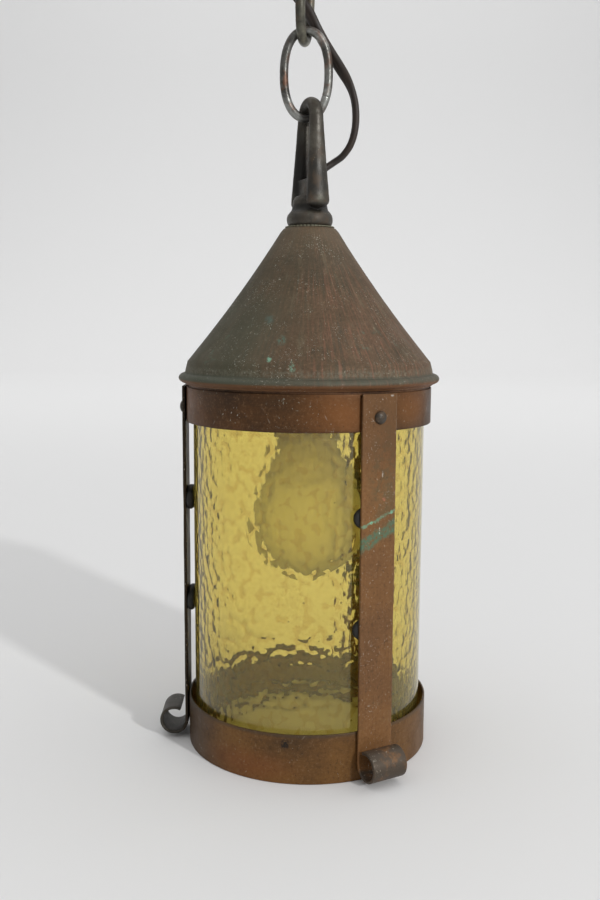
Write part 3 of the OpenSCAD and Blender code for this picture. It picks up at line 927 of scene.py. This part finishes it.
def make_roof():
    outer = [(5.5 * MM, ROOF_TOP), (9 * MM, ROOF_TOP), (12.6 * MM, ROOF_TOP - 0.05 * MM)]
    outer += [(13.4 * MM, ROOF_TOP - 0.35 * MM)]
    depth = ROOF_TOP - height(201.8)
    for k in range(1, 33):
        drop = depth * k / 32
        outer.append((roof_radius(drop), ROOF_TOP - drop))
    outer += [(63.4 * MM, height(199.6)), (63.9 * MM, height(197.8)), (64.1 * MM, height(196.4))]
    bead_r, bead_h = 3.5 * MM, 2.5 * MM
    for k in range(13):
        a = math.radians(82 - 164 * k / 12)
        outer.append((LIP_R + bead_r * math.cos(a), BEAD_Z + bead_h * math.sin(a)))
    outer += [(LIP_R + 0.1 * MM, LIP_Z + 0.25 * MM), (LIP_R - 0.2 * MM, LIP_Z)]
    inner = [(LIP_R - 0.9 * MM, LIP_Z + 0.1 * MM), (LIP_R - SHEET, height(197))]
    for k in range(16, -1, -1):
        drop = depth * k / 16
        inner.append((max(roof_radius(drop) - 1.1 * MM, 5.5 * MM), ROOF_TOP - drop - 0.7 * MM))
    inner.append((5.5 * MM, ROOF_TOP - SHEET))
    obj = lathe("copper_roof", outer + inner, 288)
    roughen(obj, 0.16 * MM, 0.03, 8, inward=True)
    return finish_piece(obj, "roof", "lantern", ["roof_cone"])


make_roof()

STRAP_IN = BAND_R + 0.05 * MM
STRAP_T = 1.6 * MM
STRAP_W = 19.5 * MM
ROLL_R = 7.6 * MM
ROLL_Z = height(9.9)
STRAP_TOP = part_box("strap_left")[1].z
STRAP_TURNS = {"strap_front": FRONT_STRAP, "strap_left": -89, "strap_rear": 148}


def strap_section(width, thick):
    """A flat bar's section with worn corners."""
    a, b = width / 2, thick / 2
    corners = [(-a, -b), (a, -b), (a, b), (-a, b)]
    rounded = fillet(corners, 0.55 * MM, 3)
    out = []
    for p, q in zip(rounded, rounded[1:] + rounded[:1]):
        out.append(tuple(p))
        if math.dist(p, q) > 5 * MM:
            out += [tuple(p + (q - p) * k / 8) for k in range(1, 8)]
    return out


def make_strap(node, seed):
    turn = math.radians(STRAP_TURNS[node])
    centre_r = STRAP_IN + STRAP_T / 2
    roll_centre = STRAP_IN + ROLL_R
    bend = ROLL_R - STRAP_T / 2
    flat = []
    steps = 90
    for k in range(steps + 1):
        flat.append((centre_r, STRAP_TOP + (ROLL_Z - STRAP_TOP) * k / steps))
    for k in range(1, 61):
        a = math.radians(180 + 300 * k / 60)
        flat.append((roll_centre + bend * math.cos(a), ROLL_Z + bend * math.sin(a)))
    out = Vector((math.sin(turn), -math.cos(turn), 0))
    side = Vector((math.cos(turn), math.sin(turn), 0))
    path = [out * r + Vector((0, 0, z)) for r, z in flat]
    sections = []
    count = len(flat)
    for i, (r, z) in enumerate(flat):
        wave = noise.noise(Vector((seed * 5.0, z * 60, 0.3)))
        width = STRAP_W * (1 - 0.006 + 0.008 * wave)
        thick = STRAP_T * (0.985 + 0.015 * wave)
        edge = min(i, count - 1 - i)
        if edge < 2:
            shrink = (0.94, 0.985)[edge]
            width, thick = width * (1 - (1 - shrink) * 0.15), thick * shrink
        sections.append(strap_section(width, thick))
    obj = sweep("copper_" + node, path, sections, [tuple(side)] * count, sharp=35)
    roughen(obj, 0.12 * MM, 0.02, seed)
    finish_piece(obj, "strap", "lantern", [node])
    return obj


for number, strap_name in enumerate(STRAP_TURNS):
    make_strap(strap_name, number + 11)


def make_rivet(name, z, inner, head, dome, seed):
    """A rivet along the radius at the front: domed head, shank and a flat inner head."""
    face = STRAP_IN + STRAP_T
    outline = [(0.02 * MM, face + dome)]
    for k in range(1, 9):
        a = math.radians(90 * k / 8)
        outline.append((head * math.sin(a), face + dome * math.cos(a) ** 0.9 * 0.98 + 0.05 * MM))
    outline += [(head * 0.98, face + 0.06 * MM), (1.6 * MM, face + 0.05 * MM), (1.6 * MM, inner)]
    outline += [(2.5 * MM, inner), (2.6 * MM, inner - 0.4 * MM), (2.2 * MM, inner - 0.8 * MM)]
    outline += [(0.02 * MM, inner - 0.8 * MM)]
    obj = lathe(name, outline, 40)
    turn_mesh(obj, 90, "X")
    move_mesh(obj, (0, 0, z))
    roughen(obj, 0.12 * MM, 0.003, seed)
    return obj


def make_rivets(node, name, mm_high, inner, head, dome):
    parts = []
    for number, turn in enumerate(STRAP_TURNS.values()):
        part = make_rivet(name + str(number), height(mm_high), inner, head, dome, number + mm_high)
        parts.append(turn_mesh(part, turn))
    return finish_piece(join(name, parts), "rivet", "lantern", [node])


make_rivets("upper_rivets", "upper_strap_rivets", 177.9, BAND_R - 2.15 * MM, 3.2 * MM, 2.2 * MM)
make_rivets("base_rivets", "base_strap_rivets", 12.2, BAND_R - 1.05 * MM, 2.2 * MM, 0.85 * MM)

# ---------------------------------------------------------------- glass and its pads

GLASS_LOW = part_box("glass_cylinder")[0].z
GLASS_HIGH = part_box("glass_cylinder")[1].z
DIMPLE = 4.8 * MM
DIMPLE_DEPTH = 0.66 * MM
DIMPLE_STRETCH = 1.15
RIDGE_SHARPNESS = 26.0


def hammered(u, v, around, size, seed):
    """Height of a field of round hollows with sharp ridges, which closes on itself round u."""
    cols = int(round(around / size))
    cell = around / cols
    high = cell * DIMPLE_STRETCH
    rows = int(v.max() / high) + 4
    gen = np.random.default_rng(seed)
    spot = gen.uniform(0.1, 0.9, (rows, cols, 2))
    steep = gen.uniform(0.7, 1.4, (rows, cols))
    lift = gen.uniform(-0.1, 0.1, (rows, cols))
    ci = np.floor(u / cell).astype(int)
    ri = np.floor(v / high).astype(int)
    total = np.zeros(u.shape)
    for dr in (-1, 0, 1):
        for dc in (-1, 0, 1):
            c, r = ci + dc, ri + dr
            pick = ((r + 1) % rows, c % cols)
            du = c + spot[pick][..., 0] - u / cell
            dv = r + spot[pick][..., 1] - v / high
            bowl = steep[pick] * (du * du + dv * dv) + lift[pick]
            total += np.exp(-RIDGE_SHARPNESS * bowl)
    return -np.log(total) / RIDGE_SHARPNESS


def shell_points(radius, angle, z):
    return np.stack([radius * np.sin(angle), -radius * np.cos(angle), z], -1).reshape(-1, 3)


def make_glass():
    """The tube: hammered inside on a fine grid, gently wavy outside on a coarse one."""
    around = 2 * math.pi * GLASS_R
    tall = GLASS_HIGH - GLASS_LOW
    cols, rows, ratio = 640, 305, 4
    u, v = np.meshgrid(np.arange(cols) / cols * around, np.linspace(0, tall, rows))
    field = hammered(u, v, around, DIMPLE, 4)
    small = hammered(u, v, around, DIMPLE * 0.47, 9)
    inner_r = GLASS_R - GLASS_T - (field - 0.22) * DIMPLE_DEPTH + (small - 0.3) * 0.17 * MM
    wide_cols, wide_rows = cols // ratio, (rows - 1) // ratio + 1
    a, b = np.meshgrid(np.arange(wide_cols) / wide_cols * around, np.linspace(0, tall, wide_rows))
    wave = np.sin(a / around * 12 * math.pi + 3 * np.sin(b / 0.05)) + np.sin(b / 0.019 + 1.3)
    outer_r = GLASS_R - (0.1 - 0.045 * wave) * MM
    inner = shell_points(inner_r, u / GLASS_R, GLASS_LOW + v)
    outer = shell_points(outer_r, a / GLASS_R, GLASS_LOW + b)
    faces = []
    for r in range(rows - 1):
        for c in range(cols):
            n = (c + 1) % cols
            faces.append((r * cols + c, (r + 1) * cols + c, (r + 1) * cols + n, r * cols + n))
    start = cols * rows
    for r in range(wide_rows - 1):
        faces += ring_faces(start + r * wide_cols, start + (r + 1) * wide_cols, wide_cols)
    for inner_row, outer_row, top in ((0, 0, False), (rows - 1, wide_rows - 1, True)):
        for c in range(wide_cols):
            n = (c + 1) % wide_cols
            edge = [inner_row * cols + (c * ratio + k) % cols for k in range(ratio + 1)]
            face = edge + [start + outer_row * wide_cols + n, start + outer_row * wide_cols + c]
            faces.append(tuple(face) if not top else tuple(reversed(face)))
    obj = new_object("hammered_glass_tube", np.concatenate([inner, outer]), faces, sharp=50)
    return finish_piece(obj, "glass", "lantern", ["glass_cylinder"])


make_glass()


def make_pad(z, seed):
    """A rounded pad between a strap, at the front, and the glass behind it."""
    wide, tall = 11.5 * MM, 6.2 * MM
    outer_y = -(STRAP_IN - 0.15 * MM)
    rings = 9
    sides = 48
    verts, faces = [], []
    for layer in range(rings):
        t = layer / (rings - 1)
        grow = (0.86, 0.95, 0.99, 1, 1, 1, 0.98, 0.95, 0.88)[layer]
        for k in range(sides):
            a = 2 * math.pi * k / sides
            x = wide * grow * math.copysign(abs(math.cos(a)) ** 0.9, math.cos(a))
            h = tall * grow * math.copysign(abs(math.sin(a)) ** 0.85, math.sin(a))
            back = -math.sqrt((GLASS_R + 0.12 * MM) ** 2 - x * x)
            verts.append((x, outer_y + (back - outer_y) * t, z + h))
    for layer in range(rings - 1):
        faces += ring_faces(layer * sides, (layer + 1) * sides, sides)
    faces.append(tuple(range(sides)))
    last = (rings - 1) * sides
    centre = len(verts)
    verts.append((0, -(GLASS_R + 0.12 * MM), z))
    for k in range(sides):
        faces.append((last + k, last + (k + 1) % sides, centre))
    obj = new_object("pad", verts, faces, sharp=50)
    face_out(obj)
    roughen(obj, 0.08 * MM, 0.004, seed)
    return obj


def make_pads():
    parts = []
    for turn in STRAP_TURNS.values():
        for mm_high in (75.5, 130):
            parts.append(turn_mesh(make_pad(height(mm_high), mm_high + turn), turn))
    obj = join("glass_pads_soft", parts)
    return finish_piece(obj, "rubber", "lantern", ["glass_pads"])


make_pads()

# ---------------------------------------------------------------- hanger and chain

LOOP_TURN = 23
HANGER_PIVOT = height(323.85)
ARCH_Z = HANGER_PIVOT - 0.2 * MM
ARCH_R = 7.5 * MM
ARCH_BAR = 3.0 * MM
NECK_Z = 278.4


def make_hanger():
    """The casting: an arch, two legs that swell to rounded feet, a web and a collar."""
    collar = [(0.5, 270.2), (10.3, 270.2), (11.0, 270.6), (11.6, 271.7), (11.85, 273.2),
              (11.8, 274.6), (11.3, 276.0), (10.4, 277.2), (9.6, 278.0), (9.2, 278.8),
              (8.9, 280.4), (8.7, 283), (7.6, 285), (5.5, 285.9), (0.5, 286)]
    parts = [lathe("collar", [(r * MM, height(z)) for r, z in collar], 96)]
    path, sections = [], []
    foot, foot_round = height(NECK_Z + 0.1), 4.2 * MM
    steps = 40
    for k in range(steps + 1):
        t = k / steps
        z = foot + (ARCH_Z - foot) * t
        path.append((0, -(10.6 - 3.1 * t) * MM, z))
        broad = 3.62 + 2.75 * (1 - t) ** 1.15
        deep = 3.25 + 0.9 * (1 - t)
        rise = min((z - foot) / foot_round, 1)
        close = math.sqrt(max(1 - (1 - rise) ** 2, 0.01))
        sections.append(disc_section(broad * close * MM, deep * close * MM, 32))
    for k in range(1, 24):
        a = math.pi * k / 24
        path.append((0, -ARCH_R * math.cos(a), ARCH_Z + ARCH_R * math.sin(a)))
        sections.append(disc_section(3.62 * MM, ARCH_BAR, 32))
    for p, s in zip(reversed(path[:steps + 1]), reversed(sections[:steps + 1])):
        path.append((0, -p[1], p[2]))
        sections.append(s)
    count = len(path)
    parts.append(sweep("loop", path, sections, [(1, 0, 0)] * count))
    parts.append(make_web())
    for obj in parts[1:]:
        turn_mesh(obj, LOOP_TURN)
    obj = join("cast_bronze_hanger", parts)
    fuse(obj, 2)
    roughen(obj, 0.14 * MM, 0.007, 21, inward=True)
    roughen(obj, 0.06 * MM, 0.0015, 22, inward=True)
    return finish_piece(obj, "hanger", "lantern", ["hanger_loop"])


def make_web():
    """The wedge between the legs, with a thin ridge left by the mould along its high edge."""
    half, deep = 3.7 * MM, 7.4 * MM
    outline = [(-half, height(281)), (half, height(281)), (half, height(288.4)),
               (-half + 0.9 * MM, height(293.2)), (-half + 0.5 * MM, height(294)),
               (-half - 0.35 * MM, height(293.6)), (-half, height(292))]
    count = len(outline)
    verts = [(x, y, z) for y in (-deep, deep) for x, z in outline]
    faces = ring_faces(0, count, count) + [range(count), range(count, 2 * count)]
    obj = new_object("web", verts, [tuple(face) for face in faces], smooth=False)
    face_out(obj)
    return obj


make_hanger()


def make_washer():
    """The toothed washer between the casting and the roof."""
    low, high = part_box("top_washer")
    teeth = 40
    hole, rim = 5.4 * MM, high.x - 0.2 * MM
    outline = [(hole, low.z), (rim, low.z), (high.x - 0.05 * MM, low.z + 0.3 * MM),
               (rim, high.z), (hole, high.z)]
    obj = lathe("toothed_washer", outline, teeth * 8)
    scallop(obj, 0.55 * MM, lambda co: 0.5 + 0.5 * math.cos(teeth * math.atan2(co.x, co.y)),
            10 * MM)
    return finish_piece(obj, "washer", "lantern", ["top_washer"])


make_washer()


def oval_path(half_width, half_height, roundness, count, start, low):
    """Points round an oval in the XZ plane. roundness 1 is an ellipse, less is fuller.

    low is the roundness of the lower half, or None where it is the same."""
    out = []
    for k in range(count):
        a = start + 2 * math.pi * k / (count - 1)
        c, s = math.cos(a), math.sin(a)
        power = low if low and s < 0 else roundness
        x = half_width * math.copysign(abs(c) ** power, c)
        z = half_height * math.copysign(abs(s) ** power, s)
        out.append(Vector((x, 0, z)))
    return out


def even(path, count):
    """The same path with its points evenly spaced."""
    run = [0.0]
    for a, b in zip(path, path[1:]):
        run.append(run[-1] + (b - a).length)
    out = []
    at = 0
    for k in range(count):
        want = run[-1] * k / (count - 1)
        while at < len(run) - 2 and run[at + 1] < want:
            at += 1
        span = max(run[at + 1] - run[at], 1e-12)
        out.append(path[at].lerp(path[at + 1], min(max((want - run[at]) / span, 0), 1)))
    return out


# The wire is a little thinner and its ends fuller than in the CAD, so that the links clear
# each other at the limits of the swing
SEAM_GAP = 0.14 * MM
LINK_ROUNDNESS = 0.88
LINK_THIN = 0.972


def make_link(name, node, body, centre, half_width, half_height, wire, turn, seam, seed, lean=0,
              low=None):
    """A bent wire link whose two ends meet at a seam."""
    path = even(oval_path(half_width, half_height, LINK_ROUNDNESS, 900, seam, low), 240)
    step = (path[1] - path[0]).length
    path[0] = path[0].lerp(path[1], min(SEAM_GAP / 2 / step, 0.9))
    path[-1] = path[-1].lerp(path[-2], min(SEAM_GAP / 2 / step, 0.9))
    sections = []
    count = len(path)
    for i in range(count):
        edge = min(i, count - 1 - i)
        worn = 1 + 0.015 * noise.noise(Vector((i * 0.12, seed, 0)))
        r = wire * LINK_THIN * worn * (0.93 if edge == 0 else 1)
        sections.append(disc_section(r, r, 24))
    side = [(0, 1, 0)] * count
    obj = sweep(name, [tuple(p) for p in path], sections, side, sharp=40)
    turn_mesh(obj, turn)
    turn_mesh(obj, lean, "Y")
    move_mesh(obj, centre)
    roughen(obj, 0.05 * MM, 0.006, seed, inward=True)
    return finish_piece(obj, node, body, [node])


def box_centre(node):
    low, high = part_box(node)
    return (low + high) / 2


ring_low, ring_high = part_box("ring_link")
make_link("ring_link_wire", "ring_link", "ring_link", box_centre("ring_link"), 11.2 * MM,
          (ring_high.z - ring_low.z) / 2 - 2.25 * MM, 2.25 * MM, 0, math.radians(-28), 31,
          low=0.9)
link_low, link_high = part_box("upper_link")
make_link("upper_link_wire", "upper_link", "upper_link", box_centre("upper_link"), 10.85 * MM,
          (link_high.z - link_low.z) / 2 - 2.5 * MM, 2.5 * MM, 78, math.radians(150), 41, 2)

# ---------------------------------------------------------------- canopy

CANOPY_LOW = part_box("canopy_dish")[0].z
CANOPY_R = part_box("canopy_dish")[1].x
BUSHING = (-17 * MM, 5 * MM)
BUSHING_R = 4 * MM


def make_canopy():
    """The spun dish: a flat middle, a sloped side and a rolled rim, with the cord's hole."""
    slope_top = -7 * MM
    rim = CANOPY_R
    outline = [(6 * MM, CANOPY_LOW), (24 * MM, CANOPY_LOW), (27 * MM, CANOPY_LOW + 0.8 * MM),
               (rim - 6 * MM, slope_top - SHEET), (rim - 3.6 * MM, slope_top + SHEET),
               (rim - 3 * MM, -4.6 * MM), (rim - SHEET, -4.2 * MM), (rim, -2.6 * MM),
               (rim - SHEET, -0.6 * MM), (rim - 2.4 * MM, 0), (rim - 4 * MM, 0),
               (rim - 4.6 * MM, slope_top + 2 * SHEET), (rim - 6.6 * MM, slope_top),
               (26.4 * MM, CANOPY_LOW + SHEET + 0.8 * MM), (23.6 * MM, CANOPY_LOW + SHEET),
               (6 * MM, CANOPY_LOW + SHEET)]
    smooth = fillet(outline, 1.2 * MM, 4)
    obj = lathe("canopy_spun_dish", [tuple(p) for p in smooth], 192)
    hole = lathe("hole", [(0.02 * MM, -2 * MM), (BUSHING_R, -2 * MM), (BUSHING_R, 3 * MM),
                          (0.02 * MM, 3 * MM)], 48)
    move_mesh(hole, (*BUSHING, CANOPY_LOW))
    cut = obj.modifiers.new("cut", "BOOLEAN")
    cut.operation = "DIFFERENCE"
    cut.object = hole
    apply_modifiers(obj)
    bpy.data.objects.remove(hole)
    return finish_piece(obj, "canopy", "canopy", ["canopy_dish"])


def make_canopy_collar():
    """The ring under the dish, with twelve hollow flutes for the fingers."""
    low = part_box("canopy_collar")[0]
    outline = [(5.2, 0), (8.2, 0), (9.2, 0.4), (9.9, 1.2), (10.1, 2.6), (9.8, 4.2), (10.2, 4.9),
               (11.2, 5.1), (11.35, 5.5), (11.2, 5.88), (5.2, 5.88)]
    outline = fillet([(r * MM, low.z + z * MM) for r, z in outline], 0.5 * MM, 3)
    obj = lathe("canopy_collar_ring", [tuple(p) for p in outline], 240)
    flutes = 12
    scallop(obj, 0.8 * MM, lambda co: max(0, math.cos(flutes * math.atan2(co.y, co.x))) ** 2,
            8.6 * MM, low.z + 4.6 * MM)
    return finish_piece(obj, "bronze", "canopy", ["canopy_collar"])


def make_canopy_eye():
    """The eye that the chain hangs from, cast in one with its threaded boss."""
    low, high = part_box("canopy_eye")
    wire, reach = 2.4 * MM, 9.9 * MM
    centre = low.z + wire + reach
    path, sections = [], []
    for k in range(72):
        a = 2 * math.pi * k / 72
        path.append((reach * math.sin(a), 0, centre - reach * math.cos(a)))
        sections.append(disc_section(wire, wire, 20))
    parts = [sweep("eye", path, sections, [(0, 1, 0)] * 72, closed=True)]
    boss = [(0.4, 0), (3.0, 0), (3.4, 1.4), (4.6, 2.8), (6.6, 4.0), (8.0, 5.4), (8.2, 6.9),
            (7.8, 7.5), (5.5, 7.6), (0.4, 7.6)]
    base = high.z - 7.6 * MM
    parts.append(lathe("boss", [(r * MM, base + z * MM) for r, z in boss], 72))
    obj = join("canopy_cast_eye", parts)
    fuse(obj, 3)
    roughen(obj, 0.08 * MM, 0.004, 31, inward=True)
    return finish_piece(obj, "bronze", "canopy", ["canopy_eye"])


def make_bushing():
    """A snap bushing in the dish's hole: a flange below, a neck and a barbed top."""
    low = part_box("cord_bushing")[0]
    outline = [(2.7, 0), (4.4, 0), (5.1, 0.4), (5.4, 1.0), (5.3, 1.5), (3.95, 1.55), (3.95, 2.6),
               (5.1, 2.65), (5.2, 3.1), (4.2, 3.78), (2.7, 3.78)]
    outline = fillet([(r * MM, low.z + z * MM) for r, z in outline], 0.3 * MM, 3)
    obj = lathe("cord_snap_bushing", [tuple(p) for p in outline], 64)
    move_mesh(obj, (*BUSHING, 0))
    return finish_piece(obj, "rubber", "canopy", ["cord_bushing"])


make_canopy()
make_canopy_collar()
make_canopy_eye()
make_bushing()

# ---------------------------------------------------------------- bulb

BULB_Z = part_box("bulb_glass")[0].z


def make_bulb():
    r = 30 * MM
    outline = []
    for k in range(30):
        a = math.radians(-90 + 110 * k / 29)
        outline.append((max(r * math.cos(a), 0.02 * MM), BULB_Z + r + r * math.sin(a)))
    neck = [(26.2, 45.8), (24.4, 50.4), (22.6, 55.2), (20.5, 60.5), (18.6, 65.8), (16.7, 71),
            (15.2, 76.4), (13.8, 80.8), (12.8, 84.6), (12.3, 88.1), (12.25, 91), (12.2, 94)]
    outline += [(a * MM, BULB_Z + b * MM) for a, b in neck]
    wall = 0.8 * MM
    inner = [(max(a - wall, 0.02 * MM), b) for a, b in reversed(outline)]
    inner[-1] = (0.02 * MM, BULB_Z + wall)
    obj = lathe("frosted_bulb", outline + inner, 96)
    return finish_piece(obj, "bulb", "bulb", ["bulb_glass"])


make_bulb()

# ---------------------------------------------------------------- CAD pieces that stay

KEPT = {
    "steel": ["mounting_bar", "roof_washer"],
    "brass": ["canopy_nipple", "nipple_nut", "stem_nipple", "roof_nut", "socket_cap",
              "socket_shell", "socket_screw_shell", "socket_contact", "terminal_screws"],
    "inside": ["roof_skirt", "glass_seat"],
    "phenolic": ["socket_liner", "socket_core", "bulb_insulator"],
    "flex": ["lamp_lead"],
    "tinned": ["bulb_cap", "bulb_tip", "bulb_filament"],
    "bulb": ["bulb_stem"],
}
for look_name, nodes in KEPT.items():
    for node_name in nodes:
        for slot in frame["nodes"][node_name].material_slots:
            slot.material = LOOKS[look_name].material

# ---------------------------------------------------------------- floor and light


def make_floor():
    """A pale sweep: a floor that curves up into a backdrop far behind the lantern."""
    front, back, bend, wide, tall = -3.0, 5.0, 1.6, 7.0, 6.0
    floor_z = BASE - 0.1 * MM
    section = [(front, floor_z), (back - bend, floor_z)]
    for k in range(1, 13):
        a = math.radians(90 * k / 12)
        section.append((back - bend + bend * math.sin(a), floor_z + bend * (1 - math.cos(a))))
    section.append((back, floor_z + tall))
    verts, faces = [], []
    for y, z in section:
        verts += [(-wide, y, z), (wide, y, z)]
    for i in range(len(section) - 1):
        faces.append((2 * i, 2 * i + 1, 2 * i + 3, 2 * i + 2))
    floor = new_object("pale_floor", verts, faces, sharp=60)
    look = Look("pale_paper")
    here = look.here
    grain = look.noise(here, 160, 4, 0.6)
    away = look.mask(look.part("Y"), 0.1, 1.9)
    up = look.mask(look.part("Z"), BASE + 0.5, BASE + 1.9)
    colour = look.mix(away, FLOOR_TONE, BACK_TONE)
    colour = look.mix(up, colour, TOP_TONE)
    look.set(Base_Color=colour, Roughness=0.9)
    look.set(Normal=look.bump(grain, 0.02, 0.0002))
    floor.data.materials.append(look.material)


def area_light(name, place, target, power, size):
    data = bpy.data.lights.new(name, "AREA")
    data.energy = power
    data.shape = "RECTANGLE"
    data.size, data.size_y = size
    light = bpy.data.objects.new(name, data)
    bpy.context.scene.collection.objects.link(light)
    place, target = Vector(place), Vector(target)
    light.location = place
    light.rotation_euler = (target - place).to_track_quat("-Z", "Y").to_euler()


def make_light():
    """Soft light from overhead, stronger from the right and behind, and a small key in front."""
    world = bpy.data.worlds.new("studio")
    bpy.context.scene.world = world
    world.use_nodes = True
    tree = world.node_tree
    way = tree.nodes.new("ShaderNodeTexCoord").outputs["Generated"]
    above = tree.nodes.new("ShaderNodeVectorMath")
    above.operation = "MAXIMUM"
    above.inputs[1].default_value = (-1, -1, 0)
    tree.links.new(way, above.inputs[0])
    tilt = tree.nodes.new("ShaderNodeVectorMath")
    tilt.operation = "DOT_PRODUCT"
    tilt.inputs[1].default_value = WORLD_TILT
    tree.links.new(above.outputs[0], tilt.inputs[0])
    total = tree.nodes.new("ShaderNodeMath")
    total.inputs[1].default_value = WORLD_LEVEL
    tree.links.new(tilt.outputs["Value"], total.inputs[0])
    tree.links.new(total.outputs[0], tree.nodes["Background"].inputs["Strength"])
    tree.nodes["Background"].inputs["Color"].default_value = (1, 1, 1, 1)
    area_light("key", KEY_PLACE, (0, 0, height(130)), KEY_POWER, (0.16, 0.16))
    area_light("backdrop", BACK_PLACE, BACK_AIM, BACK_POWER, (4, 1))


FLOOR_TONE = "dfdfdf"
BACK_TONE = "e8e8e8"
TOP_TONE = "e8e8e8"
WORLD_LEVEL = 0.36
WORLD_TILT = (0.13, 0.2, 0.74)
KEY_PLACE = (1.875, -2.21, height(1352))
KEY_POWER = 48
BACK_PLACE = (0, 2.2, BASE + 3.2)
BACK_AIM = (0, 5, BASE + 1)
BACK_POWER = 34

bpy.context.scene.view_settings.view_transform = "Standard"
make_floor()
make_light()
